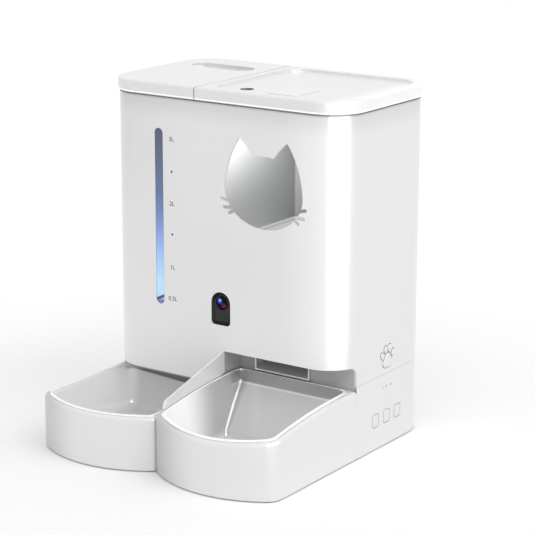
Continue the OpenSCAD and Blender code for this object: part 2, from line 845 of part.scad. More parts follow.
module base_housing() {
    color(white) difference() {
        union() {
            intersection() {
                prism(base_z, base_top_z) body_2d(0);
                union() {
                    difference() {
                        block(-half_w, half_w, dock_y, back_y, base_z, base_top_z);
                        prism(base_z - overrun, base_top_z + overrun) body_2d(wall);
                    }
                    block(-half_w, half_w, dock_y, bay_back_y, base_z, base_top_z);
                }
            }
            posts(base_z + plate_t, deck_z, post_r);
            for (p = plate_spots) {
                rod_z(base_z + plate_t, base_z + plate_t + boss_h, p[0], p[1], boss_r);
                block(p[0] - rib_t / 2, p[0] + rib_t / 2, min(p[1],
                    p[1] < 3 * boss_r + dock_y ? dock_y + wall / 2 : p[1]),
                    max(p[1], p[1] > controls_y ? inner_back_y + wall / 2 : p[1]), base_z + plate_t,
                    base_z + plate_t + boss_h);
            }
            for (t = [-1, 1])
                rod_x(board_x + board_t, inner_w + wall / 2, controls_y + t * board_half * board_boss_share,
                    (board_low + board_high) / 2, board_boss_r);
        }
        intersection() {
            prism(bay_bottom_z - slide_gap, base_top_z + overrun) body_2d(wall);
            block(notch_x - wall - slide_gap, half_w, dock_y - overrun, bay_back_y,
                bay_bottom_z - slide_gap,
                base_top_z + overrun);
        }
        tray_tongues(slide_gap);
        for (p = post_spots) {
            rod_z(base_z, deck_z + overrun, p[0], p[1], screw_r + fit_gap);
            rod_z(base_z, deck_z - post_head_drop, p[0], p[1], head_r + fit_gap);
        }
        for (p = plate_spots) rod_z(base_z, base_z + plate_screw_l, p[0], p[1], screw_r);
        for (i = [-1:1]) {
            along_x(inner_w - overrun, half_w + overrun) button_hole_2d(controls_y + i * button_pitch,
                button_gap);
            rod_x(inner_w - overrun, half_w + overrun, controls_y + i * light_pitch, light_z,
                light_r + shaft_gap);
        }
        for (i = [0:grille_slots - 1])
            along_x(-half_w - overrun, -inner_w + overrun)
                stadium_2d(controls_y + (i - (grille_slots - 1) / 2) * grille_pitch, speaker_z, grille_w,
                    2 * speaker_r * grille_l_share);
        block(-door_w / 2, door_w / 2, inner_back_y - overrun, back_y + overrun, door_z, door_z + door_h);
        rod_y(inner_back_y - overrun, back_y + overrun, door_w / 2 + inlet_side, inlet_z, inlet_r);
    }
}

module base_plate() {
    color(grey) {
        difference() {
            intersection() {
                prism(base_z, base_z + plate_t) body_2d(wall + slide_gap);
                block(-half_w, half_w, bay_back_y + slide_gap, back_y, base_z, base_z + plate_t);
            }
            for (p = foot_spots) rod_z(base_z - overrun, base_z + pad_sunk, p[0], p[1], foot_r);
            for (p = plate_spots) {
                rod_z(base_z - overrun, base_z + head_h, p[0], p[1], head_r + fit_gap);
                rod_z(base_z, base_z + plate_t + overrun, p[0], p[1], screw_r + fit_gap);
            }
        }
        for (x = [main_x + main_boss, main_x + main_l - main_boss])
            for (y = [main_y + main_boss, main_y + main_w - main_boss])
                rod_z(base_z + plate_t - skin, base_z + plate_t + standoff_h, x, y, standoff_r);
    }
}

module base_feet() {
    color(rubber_grey) for (p = foot_spots) rod_z(0, base_z + pad_sunk, p[0], p[1], foot_r);
}

module screw(x, y, z, l) {
    rod_z(z, z + head_h, x, y, head_r);
    rod_z(z + head_h - skin, z + l, x, y, screw_r);
}

module plate_screws() {
    color(steel) for (p = plate_spots) screw(p[0], p[1], base_z, plate_screw_l);
}

module case_screws() {
    color(steel) for (p = post_spots)
        screw(p[0], p[1], deck_z - post_head_drop - head_h, case_screw_l);
}

// Front panes and camera
module level_window() {
    color(blue) {
        along_y(front_y + level_sunk, inner_front_y + skin) level_2d(-fit_gap);
        along_y(inner_front_y, inner_front_y + level_flange) level_2d(level_lap);
    }
}

module cat_window() {
    margin = whisker_l + whisker_w + view_margin;
    color(clear) intersection() {
        block(cat_x - cat_half_w - margin, cat_x + cat_half_w + margin, inner_front_y,
            inner_front_y + pane_t,
            cat_z - cat_chin_h - margin, cat_z + cat_ear_h + margin);
        prism(water_edge_z, body_top_z) body_2d(wall);
    }
}

module camera_bezel() {
    color(black) {
        difference() {
            along_y(inner_front_y, inner_front_y + bezel_t) camera_2d(bezel_lap);
            rod_y(inner_front_y - overrun, inner_front_y + bezel_t + overrun, cam_x, cam_arch_z,
                lens_r + barrel_wall + fit_gap);
        }
        for (t = [-1, 1])
            rod_y(inner_front_y + bezel_t - skin, inner_front_y + barrel_l,
                cam_x + t * (cam_w / 2 - cam_post_r),
                cam_z0 + 2 * cam_post_r, cam_post_r);
    }
}

module camera_lens() {
    color(blue) rod_y(inner_front_y + lens_back, inner_front_y + lens_back + lens_t, cam_x, cam_arch_z,
        lens_r);
}

module camera_barrel() {
    y0 = inner_front_y + lens_back;
    color(black) difference() {
        rod_y(y0, inner_front_y + barrel_l, cam_x, cam_arch_z, lens_r + barrel_wall);
        rod_y(y0 - overrun, y0 + lens_t, cam_x, cam_arch_z, lens_r);
        rod_y(y0, inner_front_y + barrel_l + overrun, cam_x, cam_arch_z, lens_r - 2 * barrel_wall);
    }
}

module camera_board() {
    y0 = inner_front_y + barrel_l;
    color(board_green) {
        block(cam_x - cam_w / 2, cam_x + cam_w / 2, y0, y0 + board_t, cam_z0, cam_z0 + cam_h);
        block(cam_x - lens_r / 2, cam_x + lens_r / 2, y0 + board_t - skin, y0 + 2 * board_t,
            cam_arch_z - lens_r / 2,
            cam_arch_z + lens_r / 2);
    }
}

// Controls
module paw_2d() {
    translate([controls_y, paw_z]) for (p = concat(toe_shares, pad_shares))
        translate([p[0] * paw_half, p[1] * paw_half]) circle(p[2] * paw_half);
}

module paw_badge() {
    color(white) along_x(half_w, half_w + paw_proud) paw_2d();
}

module light_guides() {
    color(clear) for (i = [-1:1])
        rod_x(board_x + board_t, half_w, controls_y + i * light_pitch, light_z, light_r);
}

module button_board() {
    color(board_green) {
        block(board_x, board_x + board_t, controls_y - board_half, controls_y + board_half, board_low,
            board_high);
        for (i = [-1:1])
            block(board_x + board_t - skin, switch_x, controls_y + i * button_pitch - switch_w / 2,
                controls_y + i * button_pitch + switch_w / 2, button_z - switch_w / 2,
                    button_z + switch_w / 2);
    }
}

module button(i) {
    y = controls_y + i * button_pitch;
    back_x = inner_w - slide_gap;
    color(white) {
        along_x(back_x - skin, half_w + button_proud) button_hole_2d(y, 0);
        along_x(back_x - button_lap, back_x) button_hole_2d(y, button_lap);
        rod_x(switch_x + button_travel + slide_gap, back_x - skin, y, button_z, stem_side_r);
    }
}

module button_set() { button(-1); }

module button_link() { button(0); }

module button_feed() { button(1); }

// Electronics
module main_board() {
    z0 = base_z + plate_t + standoff_h;
    z1 = z0 + board_t;
    color(board_green) {
        block(main_x, main_x + main_l, main_y, main_y + main_w, z0, z1);
        for (s = chip_shares)
            block(main_x + s[0] * main_l, main_x + s[2] * main_l, main_y + s[1] * main_w,
                main_y + s[3] * main_w,
                z1 - skin, z1 + s[4] * standoff_h);
    }
}

module speaker() {
    color(black) {
        rod_x(-inner_w, -inner_w + speaker_t / 2, controls_y, speaker_z, speaker_r);
        rod_x(-inner_w + speaker_t / 2 - skin, -inner_w + speaker_t, controls_y, speaker_z, speaker_r / 2);
    }
}

module power_inlet() {
    x = door_w / 2 + inlet_side;
    color(black) difference() {
        block(x - inlet_half, x + inlet_half, inner_back_y - inlet_depth, inner_back_y,
            inlet_z - inlet_half,
            inlet_z + inlet_half);
        rod_y(inner_back_y - inlet_bore_l, inner_back_y + overrun, x, inlet_z, inlet_r);
    }
}

module battery_box() {
    color(grey) difference() {
        block(-door_w / 2 - box_wall, door_w / 2 + box_wall, inner_back_y - battery_d - box_wall,
            inner_back_y,
            base_z + plate_t, door_z + door_h + box_wall);
        block(-door_w / 2, door_w / 2, inner_back_y - battery_d, inner_back_y + overrun, door_z,
            door_z + door_h);
    }
}

module battery_contacts() {
    pitch = battery_d / cells;
    color(steel) for (s = [-1, 1]) for (i = [0:cells - 1])
        block(min(s * door_w / 2, s * (door_w / 2 - contact_t)), max(s * door_w / 2,
            s * (door_w / 2 - contact_t)),
            inner_back_y - (i + 1) * pitch + skin, inner_back_y - i * pitch - skin,
            door_z + (door_h - contact_w) / 2, door_z + (door_h + contact_w) / 2);
}

module battery_cover() {
    color(white) {
        block(-door_w / 2 + slide_gap, door_w / 2 - slide_gap, inner_back_y, back_y, door_z + slide_gap,
            door_z + door_h - slide_gap);
        for (i = [-1:1])
            block(-ridge_l / 2, ridge_l / 2, back_y - skin, back_y + ridge_h,
                door_z + door_h / 2 + i * 4 * ridge_h - ridge_h / 2,
                    door_z + door_h / 2 + i * 4 * ridge_h + ridge_h / 2);
    }
}

// Food side
module hopper_hull(inset) {
    hull() {
        prism(funnel_top_z - skin, funnel_top_z) hopper_2d(inset, $fn = hull_fn);
        block(chamber_x0 - hopper_wall + inset, chamber_x1 + hopper_wall - inset,
            rotor_y - throat_half - hopper_wall + inset, rotor_y + throat_half + hopper_wall - inset,
            funnel_bottom_z, funnel_bottom_z + skin);
    }
}

module hopper() {
    margin = whisker_l + whisker_w;
    color(liner_white) difference() {
        union() {
            prism(funnel_top_z - skin, bin_top_z) hopper_2d(0);
            hopper_hull(0);
        }
        prism(funnel_top_z - skin, bin_top_z + overrun) hopper_2d(hopper_wall);
        hopper_hull(hopper_wall);
        block(chamber_x0, chamber_x1, rotor_y - throat_half, rotor_y + throat_half,
            funnel_bottom_z - overrun,
            funnel_bottom_z + overrun);
        block(cat_x - cat_half_w - margin, cat_x + cat_half_w + margin, hopper_front_y - overrun,
            hopper_front_y + hopper_wall + skin, cat_z - cat_chin_h - whisker_w,
                cat_z + cat_ear_h + whisker_w);
    }
}

module rotor_housing() {
    leg_x = chute_w / 2 + chute_wall + slide_gap;
    color(grey) difference() {
        union() {
            rod_x(chamber_x0 - wall, chamber_x1 + wall, rotor_y, rotor_z, drum_r);
            block(chamber_x0 - wall, chamber_x1 + wall, rotor_y - throat_half - wall,
                rotor_y + throat_half + wall,
                rotor_z, funnel_bottom_z);
            for (s = [0, 1]) translate([rotor_x, 0, 0]) mirror([s, 0, 0])
                block(leg_x, leg_x + wall, rotor_y - leg_half, rotor_y + leg_half, deck_top_z, rotor_z);
        }
        rod_x(chamber_x0, chamber_x1, rotor_y, rotor_z, chamber_r);
        block(chamber_x0, chamber_x1, rotor_y - throat_half, rotor_y + throat_half,
            rotor_z - drum_r - overrun,
            funnel_bottom_z + overrun);
        rod_x(chamber_x0 - 2 * wall, chamber_x1 + 2 * wall, rotor_y, rotor_z, shaft_r + shaft_gap);
    }
}

module rotor() {
    play = rotor_play / 2;
    color(liner_white) difference() {
        union() {
            rod_x(chamber_x0 + play, chamber_x1 - play, rotor_y, rotor_z, hub_r);
            for (i = [0:blades - 1])
                translate([0, rotor_y, rotor_z]) rotate([360 * i / blades, 0, 0])
                    block(chamber_x0 + play, chamber_x1 - play, -blade_t / 2, blade_t / 2,
                        hub_r - overrun, rotor_r);
        }
        rod_x(chamber_x0, chamber_x1, rotor_y, rotor_z, shaft_r);
    }
}

module rotor_shaft() {
    color(steel) rod_x(bracket_x0 - shaft_gap, chamber_x1 + wall + shaft_end, rotor_y, rotor_z, shaft_r);
}

// Outline of a spur gear: straight-sided teeth with a tooth or a gap at the angle zero
function gear_points(teeth, turn) = let (r = gear_module * teeth / 2) [for (i = [0:teeth - 1])
    for (k = [[-tooth_width_share, -tooth_ded_share], [-tip_width_share, tooth_add_share],
        [tip_width_share, tooth_add_share], [tooth_width_share, -tooth_ded_share]])
        let (a = 360 * (i + turn + k[0]) / teeth) (r + k[1] * gear_module) * [cos(a), sin(a)]];

module drive_gear() {
    color(liner_white) difference() {
        translate([0, rotor_y, rotor_z]) along_x(gear_x0, gear_x1) polygon(gear_points(gear_teeth, 0));
        rod_x(gear_x0 - overrun, gear_x1 + overrun, rotor_y, rotor_z, shaft_r);
    }
}

module motor_pinion() {
    color(steel) difference() {
        translate([0, motor_y, rotor_z]) along_x(gear_x0, gear_x1) polygon(gear_points(pinion_teeth, 0.5));
        rod_x(gear_x0 - overrun, gear_x1 - skin, motor_y, rotor_z, motor_shaft_r + shaft_gap);
    }
}

module motor() {
    color(steel) {
        rod_x(bracket_x0 - motor_l, bracket_x0, motor_y, rotor_z, motor_r);
        rod_x(bracket_x0 - skin, gear_x1 - overrun, motor_y, rotor_z, motor_shaft_r);
    }
}

module motor_bracket() {
    y0 = motor_y - motor_r;
    y1 = rotor_y + hub_r;
    color(steel) difference() {
        union() {
            block(bracket_x0, bracket_x1, y0, y1, deck_top_z, rotor_z + bracket_top);
            block(bracket_x0 - motor_r, bracket_x1, y0, y1, deck_top_z, deck_top_z + bracket_t);
        }
        rod_x(bracket_x0 - overrun, bracket_x1 + overrun, rotor_y, rotor_z, shaft_r + shaft_gap);
        rod_x(bracket_x0 - overrun, bracket_x1 + overrun, motor_y, rotor_z, motor_shaft_r + fit_gap);
    }
}

// Side outline of the chute, grown outwards by its wall
function chute_side(grow, front) = [
    [chute_front_y - front, chute_lip_z - front * chute_slope - grow],
    [chute_back_y + grow, chute_back_z - grow],
    [chute_back_y + grow, collar_z + front],
    [rotor_y - throat_half - grow, collar_z + front],
    [bay_back_y + slide_gap, mouth_top_z + grow],
    [chute_front_y - front, mouth_top_z + grow]];

module food_chute() {
    color(white) difference() {
        along_x(chamber_x0 - chute_wall, chamber_x1 + chute_wall) polygon(chute_side(chute_wall, 0));
        along_x(chamber_x0, chamber_x1) polygon(chute_side(0, overrun));
        rod_x(chamber_x0 - 2 * wall, chamber_x1 + 2 * wall, rotor_y, rotor_z, drum_r);
    }
}

// Water side
module tank_cradle() {
    x0 = tank_left_x + cradle_in;
    x1 = tank_right_x - cradle_in;
    y0 = bay_back_y + cradle_from_deck;
    y1 = tank_back_y - cradle_in;
    r = [cradle_in, cradle_in, cradle_in, cradle_in];
    inner_r = [for (v = r) v - wall];
    color(grey) difference() {
        prism(deck_top_z, tank_z - slide_gap) difference() {
            round_box_2d(x0, x1, y0, y1, r);
            round_box_2d(x0 + wall, x1 - wall, y0 + wall, y1 - wall, inner_r);
        }
        rod_y(y0 - overrun, y0 + wall + overrun, neck_x, pipe_z, spout_r + pipe_wall + fit_gap);
    }
}

module valve_well() {
    color(liner_white) {
        difference() {
            rod_z(deck_top_z, tank_z - 2 * slide_gap, neck_x, neck_y, well_r);
            rod_z(deck_top_z + well_wall, tank_z, neck_x, neck_y, well_r - well_wall);
            rod_y(neck_y - well_r - overrun, neck_y, neck_x, pipe_z, spout_r + pipe_wall);
        }
        rod_z(deck_top_z + well_wall - skin, cap_z - valve_travel - slide_gap, neck_x, neck_y, pin_r);
    }
}

module water_pump() {
    color(black) difference() {
        union() {
            block(neck_x - pump_half, neck_x + pump_half, pump_y0, pump_y1, deck_top_z,
                pipe_z + pump_half / 2);
            rod_y(pump_y1 - skin, neck_y - well_r + well_wall, neck_x, pipe_z, spout_r + pipe_wall);
        }
        rod_y(pump_y1 - pump_l / 2, neck_y, neck_x, pipe_z, spout_r);
    }
}

module water_spout() {
    r = spout_r + pipe_wall;
    color(clear) difference() {
        union() {
            rod_y(spout_y, pump_y0, neck_x, pipe_z, r);
            translate([neck_x, spout_y, pipe_z]) sphere(r);
            rod_z(water_edge_z, pipe_z, neck_x, spout_y, r);
        }
        rod_y(spout_y, pump_y0 + overrun, neck_x, pipe_z, spout_r);
        translate([neck_x, spout_y, pipe_z]) sphere(spout_r);
        rod_z(water_edge_z - overrun, pipe_z, neck_x, spout_y, spout_r);
    }
}

module water_tank() {
    color(clear) difference() {
        union() {
            prism(tank_z, bin_top_z) tank_2d(0);
            rod_z(tank_z - neck_h, tank_z + skin, neck_x, neck_y, neck_r + tank_wall);
        }
        prism(tank_z + tank_wall, bin_top_z + overrun) tank_2d(tank_wall);
        difference() {
            rod_z(tank_z - neck_h - overrun, tank_z + tank_wall + overrun, neck_x, neck_y, neck_r);
            block(neck_x - neck_r - overrun, neck_x + neck_r + overrun, neck_y - stem_r - tank_wall,
                neck_y + stem_r + tank_wall, tank_z, tank_z + tank_wall);
        }
        rod_z(tank_z - overrun, tank_z + tank_wall + overrun, neck_x, neck_y, stem_r + shaft_gap);
    }
}

module valve_cap() {
    outer_r = neck_r + tank_wall + cap_wall;
    color(white) difference() {
        rod_z(cap_z, tank_z - cap_wall, neck_x, neck_y, outer_r);
        rod_z(cap_z + cap_wall, tank_z, neck_x, neck_y, neck_r + tank_wall + fit_gap);
        rod_z(cap_z - overrun, tank_z, neck_x, neck_y, stem_r + shaft_gap);
        for (i = [0:2]) rotate_about(neck_x, neck_y, 120 * i)
            rod_z(cap_z - overrun, cap_z + cap_wall + overrun, neck_x + seal_r - stem_r, neck_y,
                stem_r - slide_gap);
    }
}

module rotate_about(x, y, a) {
    translate([x, y, 0]) rotate([0, 0, a]) translate([-x, -y, 0]) children();
}

module valve_stem() {
    z0 = cap_z + cap_wall;
    color(steel) {
        rod_z(cap_z - valve_travel, tank_z + tank_wall + stem_rise, neck_x, neck_y, stem_r);
        rod_z(z0 + cap_play, z0 + cap_play + seal_h, neck_x, neck_y, neck_r - overrun);
    }
}

module valve_spring() {
    z0 = cap_z + cap_wall + cap_play + seal_h;
    color(steel) difference() {
        rod_z(z0, tank_z, neck_x, neck_y, 2 * stem_r + skin);
        rod_z(z0 - overrun, tank_z + overrun, neck_x, neck_y, 2 * stem_r - skin);
    }
}

// Lids
module lid_block(x0, x1, inset, z0, z1) {
    intersection() {
        prism(z0, z1) body_2d(inset - lid_overhang);
        block(x0, x1, lid_front_y, lid_back_y, z0, z1);
    }
}

module tank_lid() {
    x0 = -half_w - lid_overhang;
    x1 = lid_split_x - lid_split_gap / 2;
    under_z = overall_h - lid_skin;
    color(white) {
        difference() {
            lid_block(x0, x1, 0, lid_z, overall_h);
            lid_block(x0, x1 - lid_rim_w, lid_rim_w, lid_z - overrun, under_z);
            prism(lid_z, overall_h + overrun) stadium_2d(slot_x, slot_y, slot_l, slot_w);
        }
        prism(bin_top_z + slide_gap, under_z + skin) difference() {
            tank_2d(tank_gap);
            tank_2d(tank_wall + tank_plug_gap + plug_wall);
        }
        prism(plug_z, under_z + skin) difference() {
            tank_2d(tank_wall + tank_plug_gap);
            tank_2d(tank_wall + tank_plug_gap + plug_wall);
        }
    }
}

module cup_2d(grow) {
    r = cup_r + grow;
    round_box_2d(slot_x - slot_l / 2 - grow, slot_x + slot_l / 2 + grow,
        slot_y - slot_w / 2 - cup_under - grow,
        slot_y + slot_w / 2 + grow, [r, r, r, r]);
}

module handle_cup() {
    under_z = overall_h - lid_skin;
    color(white) difference() {
        prism(under_z - cup_h, under_z) cup_2d(cup_wall);
        prism(under_z - cup_h + cup_wall, under_z + overrun) cup_2d(0);
    }
}

module hopper_lid() {
    x0 = lid_split_x + lid_split_gap / 2;
    x1 = half_w + lid_overhang;
    under_z = overall_h - lid_skin;
    tray_under_z = lid_tray_z - lid_skin;
    ring = hopper_wall + plug_gap;
    color(white) difference() {
        union() {
            difference() {
                lid_block(x0, x1, 0, lid_z, overall_h);
                prism(lid_tray_z, overall_h + overrun) lid_tray_2d(0);
                lid_block(x0 + lid_rim_w, x1, lid_rim_w, lid_z - overrun, tray_under_z);
                difference() {
                    lid_block(x0 + lid_rim_w, x1, lid_rim_w, lid_z, under_z);
                    prism(lid_z - overrun, overall_h) lid_tray_2d(lid_skin);
                }
            }
            difference() {
                prism(plug_z, tray_under_z + skin) hopper_2d(ring);
                prism(plug_z - overrun, overall_h) hopper_2d(ring + plug_wall);
                block(tab_x + tab_l / 2 - hook_half - overrun, tab_x + tab_l / 2 + hook_half + overrun,
                    front_y,
                    tab_y, plug_z - overrun, gasket_z - slide_gap);
            }
            for (x = hinge_xs) for (s = [0, 1]) translate([x, 0, 0]) mirror([s, 0, 0])
                block(hinge_ear_w / 2 + hinge_play, hinge_ear_w / 2 + hinge_play + hinge_cheek_w,
                    hinge_y - hinge_ear_r, lid_back_y - lid_rim_w + skin, hinge_z - hinge_ear_r,
                        under_z + skin);
            for (x = [tab_x - tab_gap - lug_w, tab_x + tab_l + tab_gap])
                block(x, x + lug_w, tab_y + tab_w - tab_pin_in - lug_w, tab_y + tab_w - tab_pin_in + lug_w,
                    tab_pin_z - 2 * tab_pin_r, tray_under_z + skin);
            rod_z(tray_under_z - finger_cup_h, tray_under_z + skin, finger_x, finger_y,
                finger_d / 2 + finger_cup_wall);
        }
        for (x = hinge_xs) {
            block(x - hinge_ear_w / 2 - hinge_play, x + hinge_ear_w / 2 + hinge_play,
                hinge_y - hinge_ear_r - 3 * hinge_play,
                lid_back_y + overrun, lid_z - overrun, hinge_z + hinge_ear_r + hinge_play);
            rod_x(x - hinge_ear_w / 2 - hinge_cheek_w - hinge_play,
                x + hinge_ear_w / 2 + hinge_cheek_w + hinge_play,
                hinge_y, hinge_z, hinge_pin_r);
        }
        block(tab_x - tab_gap, tab_x + tab_l + tab_gap, tab_y - tab_gap, tab_y + tab_w + tab_gap,
            tray_under_z - overrun, lid_tray_z + overrun);
        rod_x(tab_x - tab_gap - tab_pin_l, tab_x + tab_l + tab_gap + tab_pin_l,
            tab_y + tab_w - tab_pin_in, tab_pin_z,
            tab_pin_r + shaft_gap);
        rod_z(tray_under_z - finger_cup_h + finger_cup_wall, overall_h, finger_x, finger_y, finger_d / 2);
    }
}

module lid_gasket() {
    ring = hopper_wall + plug_gap;
    color(rubber_grey) prism(gasket_z, gasket_z + gasket_h) difference() {
        hopper_2d(hopper_wall + slide_gap);
        hopper_2d(ring);
    }
}

module desiccant_box() {
    z1 = lid_tray_z - lid_skin;
    x0 = half_w - lid_tray_border - lid_tray_r - desiccant_l;
    y0 = rotor_y - desiccant_w / 2;
    color(liner_white) difference() {
        block(x0, x0 + desiccant_l, y0, y0 + desiccant_w, z1 - desiccant_h, z1);
        block(x0 + lid_skin, x0 + desiccant_l - lid_skin, y0 + lid_skin, y0 + desiccant_w - lid_skin,
            z1 - desiccant_h + lid_skin, z1 - skin);
        for (i = [0:desiccant_slots - 1])
            translate([x0 + desiccant_l * (i + 1) / (desiccant_slots + 1), 0, 0])
                block(-skin, skin, y0 + 2 * lid_skin, y0 + desiccant_w - 2 * lid_skin,
                    z1 - desiccant_h - overrun,
                    z1 - desiccant_h + lid_skin + overrun);
    }
}

module latch_tab() {
    pin_y = tab_y + tab_w - tab_pin_in;
    under_z = lid_tray_z - tab_t;
    x = tab_x + tab_l / 2;
    color(white) {
        block(tab_x, tab_x + tab_l, tab_y, tab_y + tab_w, under_z, lid_tray_z + tab_rise);
        rod_x(tab_x - tab_gap - tab_pin_l + slide_gap, tab_x + tab_l + tab_gap + tab_pin_l - slide_gap,
            pin_y,
            tab_pin_z, tab_pin_r);
        block(tab_x, tab_x + tab_l, pin_y - tab_pin_r, pin_y + tab_pin_r, tab_pin_z, under_z + skin);
        block(x - hook_half, x + hook_half, tab_y + hook_t, tab_y + 2 * hook_t, hook_z, under_z + skin);
        block(x - hook_half, x + hook_half, hopper_front_y + hopper_wall + hook_clear,
            tab_y + 2 * hook_t, hook_z,
            hook_z + hook_t);
    }
}

module hinge_pins() {
    color(steel) for (x = hinge_xs)
        rod_x(x - hinge_ear_w / 2 - hinge_cheek_w - hinge_play,
            x + hinge_ear_w / 2 + hinge_cheek_w + hinge_play,
            hinge_y, hinge_z, hinge_pin_r);
}

// Trays and bowls, drawn on the right-hand side; the water side is mirrored
module tray_body(top_z) {
    difference() {
        prism(foot_proud, top_z) tray_2d(0);
        prism(top_z - tray_lip_h, top_z + overrun) tray_2d(tray_lip_w);
        prism(bowl_seat_z, top_z - tray_lip_h + skin) tray_2d(tray_wall);
        for (p = pad_spots()) rod_z(foot_proud - overrun, foot_proud + pad_sunk, p[0], p[1], pad_r);
    }
}

function pad_spots() = [for (t = [-1, 1]) each [
    [tray_cx + t * tray_cx * pad_back_share, tray_back_y - 2 * pad_r],
    [tray_cx + t * tray_cx * pad_front_share, tray_cy - tray_arc_r * pad_back_share]]];

module half_tongues() {
    intersection() {
        tray_tongues(0);
        block(0, half_w, tray_back_y - skin, dock_y + tongue_l, 0, base_top_z);
    }
}

module food_tray() {
    color(white) {
        difference() {
            intersection() {
                prism(foot_proud, food_rim_z) tray_2d(0);
                under_rim(rim_step);
            }
            intersection() {
                prism(foot_proud + tray_floor, food_rim_z + overrun) tray_2d(tray_wall);
                under_rim(rim_step + tray_lip_h);
            }
            difference() {
                prism(bowl_seat_z, food_rim_z + overrun) tray_2d(tray_lip_w);
                under_rim(rim_step + tray_lip_h + skin);
            }
            for (p = pad_spots()) rod_z(foot_proud - overrun, foot_proud + pad_sunk, p[0], p[1], pad_r);
        }
        half_tongues();
    }
}

module food_bowl() {
    deep = bowl_in + bowl_draft;
    inner = bowl_in + bowl_wall;
    color(liner_white) difference() {
        intersection() {
            hull() {
                prism(ramp_top_z - bowl_wall, food_rim_z) tray_2d(bowl_in, bowl_in, bowl_back_r);
                prism(bowl_seat_z, bowl_seat_z + skin) tray_2d(deep, bowl_in + ramp_l, bowl_back_r);
            }
            under_rim(0);
        }
        hull() {
            prism(ramp_top_z, food_rim_z + overrun) tray_2d(inner, inner, bowl_back_r);
            prism(bowl_floor_z, bowl_floor_z + skin) tray_2d(deep + bowl_wall, inner + ramp_l, bowl_back_r);
        }
    }
}

module splash_guard() {
    y1 = front_y - slide_gap;
    y0 = y1 - guard_l;
    corner = arc([y0 + guard_r, guard_front_z - guard_r], guard_r, 180, 90, arc_steps / 2);
    color(white) difference() {
        along_x(notch_x - guard_t, notch_x)
            polygon(concat([[y1, water_rim_z - guard_r], [y0, water_rim_z - guard_r]], corner, [[y1,
                guard_back_z]]));
        under_rim(rim_step);
    }
}

module food_tray_pads() {
    color(rubber_grey) for (p = pad_spots()) rod_z(0, foot_proud + pad_sunk, p[0], p[1], pad_r);
}

module water_tray() {
    color(white) mirror([1, 0, 0]) {
        tray_body(water_tray_z);
        half_tongues();
    }
}

module water_bowl() {
    deep = bowl_in + bowl_draft;
    inner = bowl_in + bowl_wall;
    color(liner_white) mirror([1, 0, 0]) difference() {
        hull() {
            prism(water_rim_z - skin, water_rim_z) tray_2d(bowl_in, bowl_in, bowl_back_r);
            prism(bowl_seat_z, bowl_seat_z + skin) tray_2d(deep, deep, bowl_back_r);
        }
        hull() {
            prism(water_rim_z - skin, water_rim_z + overrun) tray_2d(inner, inner, bowl_back_r);
            prism(bowl_floor_z, bowl_floor_z + skin) tray_2d(deep + bowl_wall, deep + bowl_wall,
                bowl_back_r);
        }
    }
}

module water_tray_pads() {
    color(rubber_grey) mirror([1, 0, 0]) for (p = pad_spots())
        rod_z(0, foot_proud + pad_sunk, p[0], p[1], pad_r);
}

housing_shell();
bay_partition();
feed_bay();
water_bay_floor();
chassis_deck();
base_housing();
base_plate();
base_feet();
plate_screws();
case_screws();
level_window();
cat_window();
camera_bezel();
camera_lens();
camera_barrel();
camera_board();
paw_badge();
light_guides();
button_board();
main_board();
speaker();
power_inlet();
battery_box();
battery_contacts();
battery_cover();
button_set();
button_link();
button_feed();
hopper();
rotor_housing();
rotor();
rotor_shaft();
drive_gear();
motor_pinion();
motor();
motor_bracket();
food_chute();
tank_cradle();
valve_well();
water_pump();
water_spout();
water_tank();
valve_cap();
valve_stem();
valve_spring();
tank_lid();
handle_cup();
hopper_lid();
lid_gasket();
desiccant_box();
latch_tab();
hinge_pins();
water_tray();
water_bowl();
food_tray();
food_bowl();
splash_guard();
food_tray_pads();
water_tray_pads();
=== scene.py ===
import contextlib
import json
import math

import bpy
from mathutils import Euler, Matrix, Vector

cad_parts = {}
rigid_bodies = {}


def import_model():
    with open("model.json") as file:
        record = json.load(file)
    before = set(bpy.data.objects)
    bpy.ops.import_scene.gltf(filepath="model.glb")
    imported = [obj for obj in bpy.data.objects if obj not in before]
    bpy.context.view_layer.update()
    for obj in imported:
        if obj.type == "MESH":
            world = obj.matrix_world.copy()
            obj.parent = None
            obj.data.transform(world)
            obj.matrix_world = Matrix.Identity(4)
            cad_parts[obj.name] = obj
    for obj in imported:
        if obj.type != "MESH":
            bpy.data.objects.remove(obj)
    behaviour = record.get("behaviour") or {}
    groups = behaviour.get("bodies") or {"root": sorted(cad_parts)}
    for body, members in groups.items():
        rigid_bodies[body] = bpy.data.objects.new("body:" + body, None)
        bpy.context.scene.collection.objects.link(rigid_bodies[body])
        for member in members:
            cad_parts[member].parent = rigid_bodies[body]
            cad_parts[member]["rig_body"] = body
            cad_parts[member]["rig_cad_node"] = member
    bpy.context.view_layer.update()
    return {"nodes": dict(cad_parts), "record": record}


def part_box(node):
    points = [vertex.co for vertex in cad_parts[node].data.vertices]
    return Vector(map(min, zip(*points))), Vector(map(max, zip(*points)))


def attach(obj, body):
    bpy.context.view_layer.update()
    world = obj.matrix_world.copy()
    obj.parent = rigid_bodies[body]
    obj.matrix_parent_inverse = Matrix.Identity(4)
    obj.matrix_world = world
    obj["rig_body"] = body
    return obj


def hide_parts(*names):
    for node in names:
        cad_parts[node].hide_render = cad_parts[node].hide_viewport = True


# Sizes and places are in millimetres, in the part's own frame
MM = 0.001

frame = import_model()
NODES = frame["nodes"]
BODIES = frame["record"]["behaviour"]["bodies"]
BODY_OF = {node: body for body, members in BODIES.items() for node in members}
SLOT_OF = {entry["node"]: entry["material_slot"] for entry in frame["record"]["subparts"]}


def corners(node):
    """Lowest and highest corner of a node of the frame, in millimetres"""
    low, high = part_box(node)
    return low / MM, high / MM


